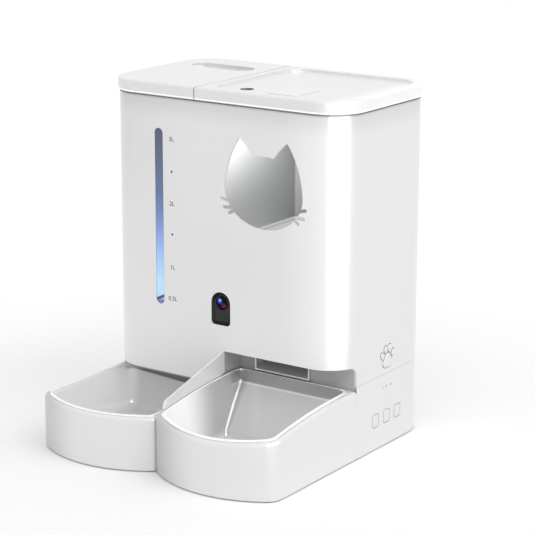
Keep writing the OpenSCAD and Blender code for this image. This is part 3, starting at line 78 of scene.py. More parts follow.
# Casing
BASE_LOW, BASE_HIGH = corners("base_housing")
HALF_WIDTH = BASE_HIGH.x
BACK_Y = BASE_HIGH.y
DOCK_Y = BASE_LOW.y
FRONT_Y = -18.8
BASE_BOTTOM = BASE_LOW.z
BASE_TOP = 76.2
SEAM_Z = 76.7
CASING_TOP = 347.0
LID_TOP = corners("hopper_lid")[1].z
LID_BOTTOM = 347.6
LID_OVERHANG = 1.8
LID_TOP_ROUND = 2.4
LID_FOOT_ROUND = 1.1
LID_INNER_ROUND = 1.2
CUP_LOW = corners("handle_cup")[0]
FINGER_X = 11.2
FINGER_Y = 12.1
FINGER_RADIUS = 7
SPLIT_X = -29.4
FRONT_RADIUS = 36.5
BACK_RADIUS = 33.5
WALL = 2.5
WATER_EDGE_Z = 59.8
FOOD_EDGE_Z = 96.6
EDGE_ROUND = 2.4
NOTCH_X = 3.4
NOTCH_LOW_X = -0.2
NOTCH_LOW_Z = 73.3
NOTCH_RADIUS = 9
REAR_RELIEF = 1.9
GROOVE_HEIGHT = 1.1
GROOVE_DEPTH = 1.0
SEAM_DEPTH = 0.5
OVERRUN = 2
PIN_LOW, PIN_HIGH = corners("hinge_pins")
PIN_HALF = 5.9
PIN_HOLE = 1.35
EAR_HALF = 2.5
EAR_RADIUS = 3
EAR_INSET = 0.3
HINGE_CLEARANCE = 3.2
DECK_TOP = corners("chassis_deck")[1].z
SCREW_SPOTS = ((130.7, 26.6), (122.2, 128.2))
POST_RADIUS = 5
POST_GAP = 0.3
POST_HEIGHT = 14
SCREW_RADIUS = 1.5
FUNNEL_TOP = 200

# Level window and its marks
LEVEL_LAP = 2
LEVEL_LOW, LEVEL_HIGH = corners("level_window")
LEVEL_HALF = (LEVEL_HIGH.x - LEVEL_LOW.x) / 2 - LEVEL_LAP
LEVEL_MIDDLE_X = -75.1
DARK_BAND_Z = 140.0
DARK_BAND_SLOPE = 0.49
MARK_X = -59
MARK_SIZE = 6.4
DOT_RADIUS = 1.15
LEVEL_MARKS = (("3L", 304.8), ("2L", 239.3), ("1L", 173.5), ("0.5L", 140.9))
LEVEL_DOTS = (272, 207.8)
# Share of the window's height and colour there
LEVEL_TINTS = ((0.0, (104, 112, 148)), (0.03, (96, 116, 178)), (0.05, (178, 222, 255)),
               (0.14, (184, 222, 250)), (0.29, (154, 188, 240)), (0.41, (128, 154, 214)),
               (0.52, (100, 126, 176)), (0.64, (84, 104, 146)), (1.0, (66, 74, 92)))
INK = 0.06

# Cat window
CAT_HALF = 46
CAT_CHIN = 35.3
CAT_CROWN = 37.2
CAT_EAR = 52.6
CAT_MARGIN = 12.2
CAT_PANE_LOW = corners("cat_window")[0]
CAT_X = CAT_PANE_LOW.x + CAT_HALF + CAT_MARGIN
CAT_Z = CAT_PANE_LOW.z + CAT_CHIN + CAT_MARGIN
# Share of the head's half width and chin height where each whisker starts, and its angle
WHISKERS = ((0.965, -0.31, 12), (0.92, -0.515, -2), (0.8, -0.61, -31))
WHISKER_LENGTH = 6.6
WHISKER_WIDTH = 3.6

# Camera
BEZEL_LOW, BEZEL_HIGH = corners("camera_bezel")
BEZEL_LAP = 2.5
LENS_X = (BEZEL_LOW.x + BEZEL_HIGH.x) / 2
CAMERA_HALF = (BEZEL_HIGH.x - BEZEL_LOW.x) / 2 - BEZEL_LAP
CAMERA_LOW = BEZEL_LOW.z + BEZEL_LAP
LENS_Z = BEZEL_HIGH.z - BEZEL_LAP - CAMERA_HALF
CAMERA_CORNER = 4.2
BEZEL_SLOPE_WIDTH = 3.3
LENS_RADIUS = 7.0
LENS_DOME = 0.9
# Spots over the black glass, the coloured ones painted reflections of the coating: across, up and size as
# shares of the lens's radius, and colour
LENS_SPOTS = ((-0.3, 0.3, 0.52, (22, 62, 170)), (-0.3, 0.36, 0.3, (110, 170, 240)),
              (0.34, -0.34, 0.44, (96, 22, 92)), (0.0, -0.06, 0.3, (3, 3, 3)),
              (-0.02, -0.04, 0.16, (24, 96, 120)))
BARREL_RADIUS = 8.1
BEZEL_POST_RADIUS = 1.5

# Paw badge and keys on the right-hand side
PAW_LOW, PAW_HIGH = corners("paw_badge")
PAW_Y = (PAW_LOW.y + PAW_HIGH.y) / 2
PAW_Z = 93.5
PAW_RISE = 0.8
PAD_REACH = 7.4
PAD_BULGE = 0.14
PAD_WIDENING = 1.05
PAD_DROP = 4.4
# Place along Y and Z, half width, half height and tilt
TOES = ((3.7, 8.0, 3.0, 4.1, 8), (10.0, 2.4, 2.6, 3.9, 24))
PAW_LINE = 0.75
PAW_LINE_RISE = 0.12
KEY_WIDTH = 11
KEY_HEIGHT = 13.2
KEY_RADIUS = 2.5
KEY_LINE = 0.5

# Trays and bowls
TRAY_INNER_X = 0.4
TRAY_BACK_Y = DOCK_Y - 0.3
TRAY_FRONT_Y = -150
TRAY_BOTTOM = 1.0
ARC_RADIUS = 116
OUTER_RADIUS = 19
INNER_RADIUS = 6
WATER_RIM_Z = 56
FOOD_RIM_Z = 73
FOOD_RIM_RADIUS = 770
RIM_STEP = 1.0
LIP_WIDTH = 4.2
LIP_HEIGHT = 8
TRAY_WALL = 2.5
TRAY_FLOOR_Z = 3.0
BOWL_INSET = 4.5
BOWL_WALL = 3.0
RIM_ROUND = 1.9
BOWL_DRAFT = 7
INNER_DRAFT = 5.6
BOWL_FLOOR_Z = 8.5
RAMP_SHARE = 0.8
RAMP_LENGTH = 33
RAMP_EDGE = 0.4
BOWL_CORNER = 5.5
BOWL_BACK_RADIUS = 9
RAMP_CORNER = 4.5
FLOOR_FILLET = 10
TRAY_TOP_ROUND = 3.4
TRAY_FOOT_ROUND = 1.2
TONGUE_XS = (35.65, 106.95)
TONGUE_HALF = 7
TONGUE_LOW = 20
TONGUE_HIGH = 24
TONGUE_END_Y = 19.6

# Studio
CAMERA_FOCAL = 130.57
CAMERA_PLACE = (1094.495, -1521.866, 667.808)
CAMERA_AZIMUTH = 34.61
CAMERA_ELEVATION = 14.63
CAMERA_ROLL = 0.13
ROOM_LIGHT = 0.91
HIGH_POWER = 4.6
RIGHT_POWER = 6.0
CORNER_POWER = 15.0
FLOOR_COLOUR = (0.93, 0.93, 0.93)
FLOOR_FADE = (0.28, 0.6)

# Modelling helpers
MERGE_DISTANCE = 0.001
SHARP_ANGLE = 28
FLAT_ANGLE = 0.5
# How far a face or edge may lie from the place that a test names
SLACK = 0.1


def sine_cosine(turn):
    """Sine and cosine of an angle in degrees"""
    return math.sin(math.radians(turn)), math.cos(math.radians(turn))


def every_edge(middle):
    return True


def deselect():
    bpy.ops.object.select_all(action="DESELECT")


def pick(piece):
    """Makes one piece the only selected and the active one"""
    deselect()
    piece.select_set(True)
    bpy.context.view_layer.objects.active = piece


@contextlib.contextmanager
def editing(piece, start="SELECT"):
    """Edit mode on one piece, with all of it selected or deselected to start with"""
    pick(piece)
    bpy.ops.object.mode_set(mode="EDIT")
    bpy.ops.mesh.select_all(action=start)
    yield
    bpy.ops.object.mode_set(mode="OBJECT")


def adjust(thing, **settings):
    """Sets several properties of a thing"""
    for setting, value in settings.items():
        setattr(thing, setting, value)


def apply_modifier(piece, kind, **settings):
    pick(piece)
    modifier = piece.modifiers.new(kind.title(), kind)
    adjust(modifier, **settings)
    bpy.ops.object.modifier_apply(modifier=modifier.name)


def ring(points):
    """A closed loop of edges through points given in millimetres"""
    deselect()
    bpy.ops.mesh.primitive_circle_add(vertices=len(points), radius=1)
    loop = bpy.context.object
    for vertex, point in zip(loop.data.vertices, points):
        vertex.co = Vector(point) * MM
    return loop


def prism(outline, start, end, axis="z"):
    """An outline on the other two axes, pushed from start to end along an axis"""
    index = "xyz".index(axis)
    step = [(end - start) * MM if axis == letter else 0 for letter in "xyz"]
    piece = ring([(*point[:index], start, *point[index:]) for point in outline])
    with editing(piece):
        bpy.ops.mesh.edge_face_add()
        bpy.ops.mesh.extrude_region_move(TRANSFORM_OT_translate={"value": step})
        bpy.ops.mesh.select_all(action="SELECT")
        bpy.ops.mesh.normals_make_consistent(inside=False)
    return piece


def settled():
    """The active piece with its place, turn and scale taken into its mesh"""
    bpy.ops.object.transform_apply(location=True, rotation=True, scale=True)
    return bpy.context.object


def block(low, high):
    """A box between two corners"""
    deselect()
    middle = (Vector(low) + Vector(high)) / 2 * MM
    bpy.ops.mesh.primitive_cube_add(size=1, location=middle, scale=(Vector(high) - Vector(low)) * MM)
    return settled()


def rod(start, end, radius, sides=48):
    """A cylinder between two points"""
    start, end = Vector(start), Vector(end)
    deselect()
    turn = (end - start).to_track_quat("Z", "Y").to_euler()
    bpy.ops.mesh.primitive_cylinder_add(vertices=sides, radius=radius * MM, depth=(end - start).length * MM,
                                        location=(start + end) / 2 * MM, rotation=turn)
    return settled()


def loft(rings):
    """A closed skin through loops of equally many points"""
    deselect()
    bpy.ops.mesh.primitive_grid_add(x_subdivisions=len(rings[0]), y_subdivisions=len(rings) - 1)
    skin = bpy.context.object
    points = [point for loop in rings for point in list(loop) + [loop[0]]]
    for vertex, point in zip(skin.data.vertices, points):
        vertex.co = Vector(point) * MM
    with editing(skin):
        bpy.ops.mesh.remove_doubles(threshold=MERGE_DISTANCE * MM)
        bpy.ops.mesh.fill_holes(sides=0)
        bpy.ops.mesh.normals_make_consistent(inside=False)
    if inside_out(skin):
        with editing(skin):
            bpy.ops.mesh.flip_normals()
    return skin


def inside_out(skin):
    """Whether a closed skin's faces look inward"""
    return sum(face.center.dot(face.normal) * face.area for face in skin.data.polygons) < 0


def cut(piece, *tools, operation="DIFFERENCE"):
    """Takes the tools away from a piece, or joins them to it with the operation UNION"""
    for tool in tools:
        apply_modifier(piece, "BOOLEAN", operation=operation, solver="EXACT", object=tool)
        bpy.data.objects.remove(tool)
    return piece


def gather(pieces):
    """Several shapes as the separate shells of one piece"""
    pick(pieces[0])
    for piece in pieces:
        piece.select_set(True)
    bpy.ops.object.join()
    return bpy.context.object


def sharp_edges(piece):
    """Each edge at which the surface turns sharply, with its middle in millimetres"""
    mesh = piece.data
    sides = {}
    for face in mesh.polygons:
        for key in face.edge_keys:
            sides.setdefault(key, []).append(face.normal)
    limit = math.cos(math.radians(SHARP_ANGLE))
    found = []
    for edge in mesh.edges:
        normals = sides.get(edge.key, [])
        if len(normals) == 2 and normals[0].dot(normals[1]) < limit:
            a, b = (mesh.vertices[v].co for v in edge.vertices)
            found.append((edge, (a + b) / 2 / MM))
    return found


def round_edges(piece, width, where=every_edge, steps=3):
    """Bevels the sharp edges that a test on their middle picks"""
    with editing(piece, "DESELECT"):
        bpy.ops.mesh.select_mode(type="EDGE")
        bpy.ops.object.mode_set(mode="OBJECT")
        chosen = [edge for edge, middle in sharp_edges(piece) if where(middle)]
        for edge in chosen:
            edge.select = True
        bpy.ops.object.mode_set(mode="EDIT")
        if chosen:
            bpy.ops.mesh.bevel(offset=width * MM, offset_type="OFFSET", segments=steps, affect="EDGES",
                               clamp_overlap=True, loop_slide=True, harden_normals=False)
    return piece


def tidy(piece, distance=0.01):
    """Merges doubled vertices and dissolves needless edges on flat faces"""
    with editing(piece):
        bpy.ops.mesh.remove_doubles(threshold=distance * MM)
        bpy.ops.mesh.dissolve_limited(angle_limit=math.radians(FLAT_ANGLE), delimit={"NORMAL"})
    return piece


def finish(piece, name, node, replace=True, material=None, angle=35, painted=()):
    """Names and dresses a piece that goes with a node of the frame, and usually stands for it

    Each painted entry is a material and a test on a face's middle and direction.
    """
    piece.name = name
    piece.data.name = name
    piece.data.materials.clear()
    piece.data.materials.append(material or FINISHES[SLOT_OF[node]])
    for face in piece.data.polygons:
        face.material_index = 0
    for index, (paint, where) in enumerate(painted, 1):
        piece.data.materials.append(paint)
        for face in piece.data.polygons:
            if where(face.center / MM, face.normal):
                face.material_index = index
    pick(piece)
    bpy.ops.object.shade_smooth_by_angle(angle=math.radians(angle))
    apply_modifier(piece, "WEIGHTED_NORMAL", keep_sharp=True, weight=90)
    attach(piece, BODY_OF[node])
    if replace:
        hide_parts(node)


def softened(node, name, *roundings, **looks):
    """A copy of a node with rounded edges, as moulding leaves them; a rounding is a width and a test"""
    piece = NODES[node].copy()
    piece.data = NODES[node].data.copy()
    bpy.context.scene.collection.objects.link(piece)
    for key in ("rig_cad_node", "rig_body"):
        del piece[key]
    piece.parent = None
    tidy(piece, distance=0.002)
    for width, where in roundings:
        round_edges(piece, width, where, steps=4 if width > 1 else 2)
    finish(piece, name, node, **looks)


# Outlines

def arc(centre, radius, start, end, steps):
    """Points on an arc, from one angle to the other, in degrees"""
    turns = [math.radians(start + (end - start) * step / steps) for step in range(steps + 1)]
    return [(centre[0] + radius * math.cos(turn), centre[1] + radius * math.sin(turn)) for turn in turns]


def between(start, end, steps):
    """Points inside a straight stretch"""
    shares = [step / steps for step in range(1, steps)]
    return [tuple(a + (b - a) * share for a, b in zip(start, end)) for share in shares]


def bend(start, pull, end, steps):
    """Points on a curve whose ends run along the lines to a third point"""
    shares = [step / steps for step in range(steps + 1)]
    return [tuple(a * (1 - t) ** 2 + b * 2 * t * (1 - t) + c * t ** 2 for a, b, c in zip(start, pull, end))
            for t in shares]


def rounded_box(left, right, low, high, radii, steps=12):
    """A rectangle with a radius at each corner: low left, low right, high right, high left"""
    spots = ((left, low, 1, 1, 180), (right, low, -1, 1, 270),
             (right, high, -1, -1, 0), (left, high, 1, -1, 90))
    points = []
    for (x, y, to_right, up, start), radius in zip(spots, radii):
        points += arc((x + to_right * radius, y + up * radius), radius, start, start + 90, steps)
    return points


def casing_outline(inset):
    """The casing seen from above, drawn in by a margin"""
    front, back = FRONT_RADIUS - inset, BACK_RADIUS - inset
    return rounded_box(-HALF_WIDTH + inset, HALF_WIDTH - inset, FRONT_Y + inset, BACK_Y - inset,
                       (front, front, back, back), steps=24)


def depth_inside(point):
    """How far a point lies inside the casing's outline, less than zero where it stands out"""
    if point.y < FRONT_Y + FRONT_RADIUS:
        radius, beyond = FRONT_RADIUS, FRONT_Y + FRONT_RADIUS - point.y
    else:
        radius, beyond = BACK_RADIUS, point.y - BACK_Y + BACK_RADIUS
    aside = abs(point.x) - HALF_WIDTH + radius
    if aside > 0 and beyond > 0:
        return radius - math.hypot(aside, beyond)
    return min(HALF_WIDTH - abs(point.x), point.y - FRONT_Y, BACK_Y - point.y)


TRAY_MIDDLE_X = (HALF_WIDTH + TRAY_INNER_X) / 2
TRAY_MIDDLE_Y = TRAY_FRONT_Y + ARC_RADIUS


def tray_outline(inset, back_inset, back_radius):
    """The right-hand tray from above, drawn in by a margin, always in as many points"""
    outer_x = HALF_WIDTH - inset
    inner_x = TRAY_INNER_X + inset
    back_y = TRAY_BACK_Y - back_inset
    arc_radius = ARC_RADIUS - inset
    outer_radius = max(OUTER_RADIUS - inset, BOWL_CORNER)
    inner_radius = max(INNER_RADIUS - inset, INNER_RADIUS / 2 if inset < BOWL_INSET + 1 else BOWL_CORNER)

    def corner(x, radius):
        reach = math.sqrt((arc_radius - radius) ** 2 - (x - TRAY_MIDDLE_X) ** 2)
        return (x, TRAY_MIDDLE_Y - reach), math.degrees(math.atan2(-reach, x - TRAY_MIDDLE_X))

    outer, outer_turn = corner(outer_x - outer_radius, outer_radius)
    inner, inner_turn = corner(inner_x + inner_radius, inner_radius)
    back = (arc((inner_x + back_radius, back_y - back_radius), back_radius, 180, 90, 6)
            + arc((outer_x - back_radius, back_y - back_radius), back_radius, 90, 0, 6))
    front = (arc(outer, outer_radius, 0, outer_turn, 10)
             + arc((TRAY_MIDDLE_X, TRAY_MIDDLE_Y), arc_radius, outer_turn, inner_turn, 24)[1:-1]
             + arc(inner, inner_radius, inner_turn, -180, 10))
    return back + between(back[-1], front[0], 14) + front + between(front[-1], back[0], 14)


def food_rim(y):
    """Height of the food bowl's rim, which falls away to the front on a long curve"""
    return FOOD_RIM_Z - FOOD_RIM_RADIUS + math.sqrt(FOOD_RIM_RADIUS ** 2 - (y - DOCK_Y) ** 2)


def water_rim(y):
    return WATER_RIM_Z


# Materials

PLASTIC_IOR = 1.49
FLOW_SIZE = 70
SKIN_SIZE = 60
SKIN_CHANGE = 0.012
PEEL_SIZE = 3.5


class Term:
    """What a node gives out; where it is a number, sums can be written on it"""

    def __init__(self, sheet, socket):
        self.sheet = sheet
        self.socket = socket

    def maths(self, operation, first, second):
        return self.sheet.add("ShaderNodeMath", {"operation": operation}, {0: first, 1: second})

    def __add__(self, other):
        return self.maths("ADD", self, other)

    def __radd__(self, other):
        return self.maths("ADD", other, self)

    def __sub__(self, other):
        return self.maths("SUBTRACT", self, other)

    def __rsub__(self, other):
        return self.maths("SUBTRACT", other, self)

    def __mul__(self, other):
        return self.maths("MULTIPLY", self, other)

    def __rmul__(self, other):
        return self.maths("MULTIPLY", other, self)

    def __truediv__(self, other):
        return self.maths("DIVIDE", self, other)

    def __abs__(self):
        return self.maths("ABSOLUTE", self, 0)

    def rise(self, low, high):
        """A soft step from 0 at the low value to 1 at the high one"""
        settings = {"interpolation_type": "SMOOTHSTEP"}
        values = {"Value": self, "From Min": low, "From Max": high}
        return self.sheet.add("ShaderNodeMapRange", settings, values)

    def fall(self, low, high):
        """A soft step from 1 at the low value to 0 at the high one"""
        return 1 - self.rise(low, high)

    def near(self, middle, inner, outer):
        """1 within the inner distance of a value, and 0 from the outer one on"""
        return abs(self - middle).fall(inner, outer)


class Sheet:
    """The node sheet of a material, or of the world when that is handed in"""

    def __init__(self, name, world=None, **fixed):
        self.material = world or bpy.data.materials.new(name)
        self.material.use_nodes = True
        self.tree = self.material.node_tree
        if world:
            self.tree.nodes.clear()
        else:
            self.shader = self.tree.nodes["Principled BSDF"]
        for label, value in fixed.items():
            self.shader.inputs[label.replace("_", " ").title().replace("Ior", "IOR")].default_value = value

    def add(self, kind, settings=None, values=None, output=0):
        """One node: its settings are set first, then its sockets' values or links"""
        node = self.tree.nodes.new(kind)
        settings = dict(settings or {})
        for index, (place, colour) in enumerate(settings.pop("stops", ())):
            elements = node.color_ramp.elements
            stop = elements[index] if index < 2 else elements.new(place)
            adjust(stop, position=place, color=(*colour, 1))
        adjust(node, **settings)
        for label, value in (values or {}).items():
            self.put(node.inputs[label], value)
        return None if output is None else Term(self, node.outputs[output])

    def put(self, socket, value):
        if isinstance(value, Term):
            self.tree.links.new(value.socket, socket)
        else:
            socket.default_value = value

    def drive(self, label, value):
        """Leads a value that changes over the surface to the shader"""
        self.put(self.shader.inputs[label], value)

    def place(self):
        return self.add("ShaderNodeTexCoord", output="Object")

    def along(self, axis):
        """The place along one axis, in millimetres"""
        split = self.add("ShaderNodeSeparateXYZ", {}, {0: self.place()}, output=axis)
        return split / MM

    def places(self):
        """The places along all three axes"""
        return [self.along(axis) for axis in "XYZ"]

    def noise(self, size):
        """Even noise between 0 and 1 whose blots measure about a size in millimetres"""
        values = {"Vector": self.place(), "Scale": 1 / (size * MM), "Detail": 2.0, "Roughness": 0.5}
        return self.add("ShaderNodeTexNoise", {}, values)

    def blend(self, share, first, second):
        """A colour between two colours"""
        pad = [(*colour, 1) if isinstance(colour, tuple) else colour for colour in (first, second)]
        settings = {"data_type": "RGBA"}
        return self.add("ShaderNodeMix", settings, {0: share, 6: pad[0], 7: pad[1]}, output=2)

    def layers(self, colour, *coats):
        """A colour with others laid over it, each by its share"""
        for share, over in coats:
            colour = self.blend(share, colour, over)
        return colour

    def glow(self, colour, strength):
        """Gives the surface a light of its own"""
        self.drive("Emission Color", colour)
        self.shader.inputs["Emission Strength"].default_value = strength

    def white_glow(self, share, strength):
        self.glow(self.blend(share, grey(0), grey(255)), strength)

    def seen(self):
        """1 for rays that show the background, 0 for those that light the object"""
        camera, glossy, clear = [self.add("ShaderNodeLightPath", output="Is " + kind + " Ray")
                                 for kind in ("Camera", "Glossy", "Transmission")]
        return camera + glossy + clear

    def relief(self, height, depth):
        """Turns a height from 0 to 1 into a relief of a depth in millimetres"""
        values = {"Height": height, "Distance": depth * MM, "Strength": 1.0}
        self.drive("Normal", self.add("ShaderNodeBump", {}, values))


def grey(level):
    """A grey given as it looks on a screen, from 0 to 255"""
    share = level / 255
    value = share / 12.92 if share < 0.04045 else ((share + 0.055) / 1.055) ** 2.4
    return value, value, value


def screen(red, green, blue):
    """A colour given as it looks on a screen, from 0 to 255"""
    return tuple(grey(level)[0] for level in (red, green, blue))


def darker(colour, share):
    return tuple(channel * share for channel in colour)


def moulded(name, colour, roughness, coat=0.0, flow=0.003, grain=0.0, shine=0.5, shade=None):
    """Injection-moulded plastic: faint flow shade, a satin skin and, where wanted, a fine orange peel"""
    sheet = Sheet(name, coat_weight=coat, coat_roughness=0.12, ior=PLASTIC_IOR, specular_ior_level=shine)
    tint = sheet.blend(sheet.noise(FLOW_SIZE), colour, darker(colour, 1 - flow))
    if shade:
        tint = shade(sheet, tint)
    sheet.drive("Base Color", tint)
    sheet.drive("Roughness", roughness + SKIN_CHANGE * (sheet.noise(SKIN_SIZE) - 0.5))
    if grain:
        sheet.relief(sheet.noise(PEEL_SIZE), grain)
    return sheet.material


# Shades and glows by place, as soft light leaves them in the photo

def shade_below_lids(sheet, tint):
    """Painted light and shade: a lighter foot, greyer shade to the left, a painted glow at the corner, and
    painted shade over the bowl and below the lids
    """
    across, deep, height = sheet.places()
    front = deep.fall(-18, -2)
    close, wide = (height.rise(CASING_TOP - reach, CASING_TOP) for reach in (4, 26))
    return sheet.layers(tint,
                        (0.75 * front * height.fall(70, 220), grey(240)),
                        (0.3 * front * across.fall(-140, -20) * height.rise(200, 300), grey(196)),
                        (0.4 * front * across.rise(66, 112) * across.fall(116, 132), grey(254)),
                        (0.85 * height.fall(WATER_EDGE_Z + 0.7, WATER_EDGE_Z + 2.6), grey(50)),
                        (0.28 * close + 0.16 * wide, grey(60)))


def shade_under_chute(sheet, tint):
    """Painted shade on the food bowl's back band, where the casing shades it, a painted highlight along the
    ramp's top edge, and on the left wall a painted glow to the front and painted shade to the back
    """
    across, deep, height = sheet.places()
    back = deep.rise(-16, -8)
    wall = across.fall(13, 20) * height.rise(10, 22)
    front = deep.fall(-92, -38)
    sheet.white_glow(0.45 * wall * front, 0.8)
    return sheet.layers(tint,
                        (0.5 * height.rise(60.6, 61.6) * back, grey(88)),
                        (0.6 * height.near(60.4, 0.5, 1.2) * back, grey(250)),
                        (0.4 * wall * (1 - front), grey(110)))


def shade_water_liner(sheet, tint):
    """A painted glow makes the water bowl's left wall paler than its back, and painted shade darkens the
    back's top where the casing's edge shades it
    """
    across, deep, height = sheet.places()
    sheet.white_glow(0.2 * across.fall(-133, -116), 1.0)
    dark = deep.rise(-8, 0) * (height + 0.05 * across).rise(41.6, 43.2)
    return sheet.layers(tint, (0.85 * dark, grey(50)))


def shade_left(sheet, tint):
    """Painted shade: each tray is a little darker round its left end, where less light falls"""
    across = sheet.along("X")
    right_tray = across.rise(-1, 0)
    shade = right_tray * across.fall(0, 70) + (1 - right_tray) * across.fall(-HALF_WIDTH, -75)
    return sheet.layers(tint, (0.42 * shade, grey(90)))


def lit_hopper(sheet, tint):
    """Painted light: a glow for the light that falls through the hopper's open top, fades down its left
    wall and catches the funnel
    """
    across, deep, height = sheet.places()
    lift = (height - 225) / 56
    wall = 0.108 + 0.0016 * (height - 230) + (0.17 + 0.62 * lift * lift) * (129 - deep) / 101
    funnel = height.fall(FUNNEL_TOP, FUNNEL_TOP + 1)
    back = across.rise(-18.7, -17.7) * (0.14 + 0.14 * height.rise(195, 280))
    edge = height.near(FUNNEL_TOP + 0.8, 0.5, 1.4)
    sheet.white_glow(wall * (1 - funnel) + back + 0.3 * funnel + 0.25 * edge, 1.0)
    return tint


def lit_cup(sheet, tint):
    """The shallow finger slot, brightened by a painted glow that is strongest at its left end"""
    sheet.white_glow(0.03 + 0.35 * sheet.along("X").fall(CUP_LOW.x + 2, CUP_LOW.x + 9), 0.9)
    return tint


def lit_corner(sheet, tint):
    """Painted highlights: the lids' glow over the front corner and along the right-hand side, and a bright
    line at their foot
    """
    lip = sheet.along("Z").fall(LID_BOTTOM + 1.5, LID_BOTTOM + 2.4)
    right = sheet.along("X").rise(HALF_WIDTH - FRONT_RADIUS, HALF_WIDTH)
    sheet.white_glow(0.3 * right + 0.6 * lip, 0.5)
    return tint


# Finishes

def clear(name, colour, alpha):
    """A thin clear pane that lets most light straight through"""
    sheet = Sheet(name, alpha=alpha, ior=1.5, coat_weight=0.4, coat_roughness=0.02)
    sheet.drive("Base Color", sheet.blend(sheet.noise(40), colour, darker(colour, 0.96)))
    sheet.drive("Roughness", 0.03 + 0.02 * sheet.noise(12))
    return sheet.material


def metal(name, colour, roughness, stretch):
    """Turned or drawn metal with fine lines across it"""
    sheet = Sheet(name, metallic=1.0)
    lines = sheet.add("ShaderNodeMapping", {}, {"Vector": sheet.place(), "Scale": stretch})
    grooves = sheet.add("ShaderNodeTexNoise", {}, {"Vector": lines, "Scale": 900.0, "Detail": 3.0})
    sheet.drive("Base Color", sheet.blend(grooves, colour, darker(colour, 0.82)))
    sheet.drive("Roughness", roughness + 0.12 * grooves)
    sheet.relief(grooves, 0.01)
    return sheet.material


def level_blue():
    """Tinted window over the tank with painted light and shade: slate above, lit blue below with a faint
    glow, painted shade along its sides and a dark slanted band near its foot
    """
    sheet = Sheet("level_blue", coat_weight=0.6, coat_roughness=0.05)
    aside, height = sheet.along("X") - LEVEL_MIDDLE_X, sheet.along("Z")
    share = (height - LEVEL_LOW.z) / (LEVEL_HIGH.z - LEVEL_LOW.z)
    stops = [(place, screen(*colour)) for place, colour in LEVEL_TINTS]
    tint = sheet.add("ShaderNodeValToRGB", {"stops": stops}, {0: share})
    slope = height - DARK_BAND_Z - aside * DARK_BAND_SLOPE
    side = abs(aside).rise(LEVEL_HALF - 1.1, LEVEL_HALF - 0.2)
    tint = sheet.layers(tint,
                        (slope.near(0, 1.1, 2.1), screen(52, 62, 92)),
                        (0.5 * side, screen(48, 60, 96)))
    sheet.drive("Base Color", tint)
    sheet.glow(tint, 0.12)
    sheet.drive("Roughness", 0.12 + 0.04 * sheet.noise(6))
    return sheet.material


def lens_coat_reflections():
    """Black lens glass with painted reflections of its coating, blue turning to magenta across it, and a
    faint glow
    """
    sheet = Sheet("lens_coat_reflections", specular_ior_level=0.08)
    across = (sheet.along("X") - LENS_X) / LENS_RADIUS
    up = (sheet.along("Z") - LENS_Z) / LENS_RADIUS

    def spot(x, z, size):
        aside = (across - x) * (across - x) + (up - z) * (up - z)
        return aside.fall(size * size * 0.25, size * size)

    spots = [(spot(x, z, size), screen(*colour)) for x, z, size, colour in LENS_SPOTS]
    tint = sheet.layers(grey(3), *spots)
    sheet.drive("Base Color", tint)
    sheet.glow(tint, 0.25)
    sheet.drive("Roughness", 0.05 + 0.02 * sheet.noise(3))
    return sheet.material


FINISHES = {
    "casing_white": moulded("casing_white", grey(226), 0.28, coat=0.35),
    "liner_white": moulded("liner_white", grey(208), 0.14, coat=0.7, shade=shade_water_liner),
    "clear_panel": clear("clear_panel", screen(226, 232, 236), 0.06),
    "blue_window": level_blue(),
    "camera_black": moulded("camera_black", grey(22), 0.34, shine=0.42),
    "lens_glass": lens_coat_reflections(),
    "dark_plastic": moulded("dark_plastic", grey(52), 0.5, flow=0.06, grain=0.004),
    "grey_plastic": moulded("grey_plastic", grey(178), 0.45, grain=0.004),
    "board_green": moulded("board_green", screen(24, 96, 58), 0.35, coat=0.3, flow=0.2),
    "steel": metal("steel", grey(204), 0.28, (1, 1, 8)),
    "brass": metal("brass", screen(206, 176, 104), 0.25, (8, 1, 1)),
    "rubber_grey": moulded("rubber_grey", grey(84), 0.75, flow=0.05, grain=0.02),
}
LEVEL_INK = moulded("level_ink", grey(38), 0.6, flow=0.05, shine=0.2)
# Copies of the white plastics with painted light and shade laid into their colour
SHADED_WHITE = moulded("shaded_white", grey(226), 0.28, coat=0.35, shade=shade_below_lids)
LID_WHITE = moulded("lid_white", grey(223), 0.28, coat=0.35, shade=lit_corner)
# Painted highlight for the bowls' rims and the chute mouth's front edge
RIM_HIGHLIGHT = moulded("rim_highlight", grey(250), 0.12, coat=0.8)
# Painted shade, darker than the camera's black plate, on the bezel's sloping border
BEZEL_SHADE = moulded("bezel_shade", grey(8), 0.4, shine=0.16)
# The white plastic painted darker as shade inside the recess over the food bowl
RECESS_SHADED = moulded("recess_shaded", grey(176), 0.4)
# The hopper's inside in dark painted shade, under the painted glow of lit_hopper
HOPPER_WHITE = moulded("hopper_white", grey(96), 0.5, shine=0.2, shade=lit_hopper)
CUP_WHITE = moulded("cup_white", grey(232), 0.4, shade=lit_cup)
FOOD_LINER = moulded("food_liner", grey(207), 0.14, coat=0.4, shade=shade_under_chute)
TRAY_WHITE = moulded("tray_white", grey(226), 0.28, coat=0.35, shade=shade_left)
# Painted shade in the groove under the lids and in the finger hole
HOLLOW_SHADE = moulded("hollow_shade", grey(128), 0.5)
LINE_GREY = moulded("line_grey", grey(92), 0.6, shine=0.2)


# Casing

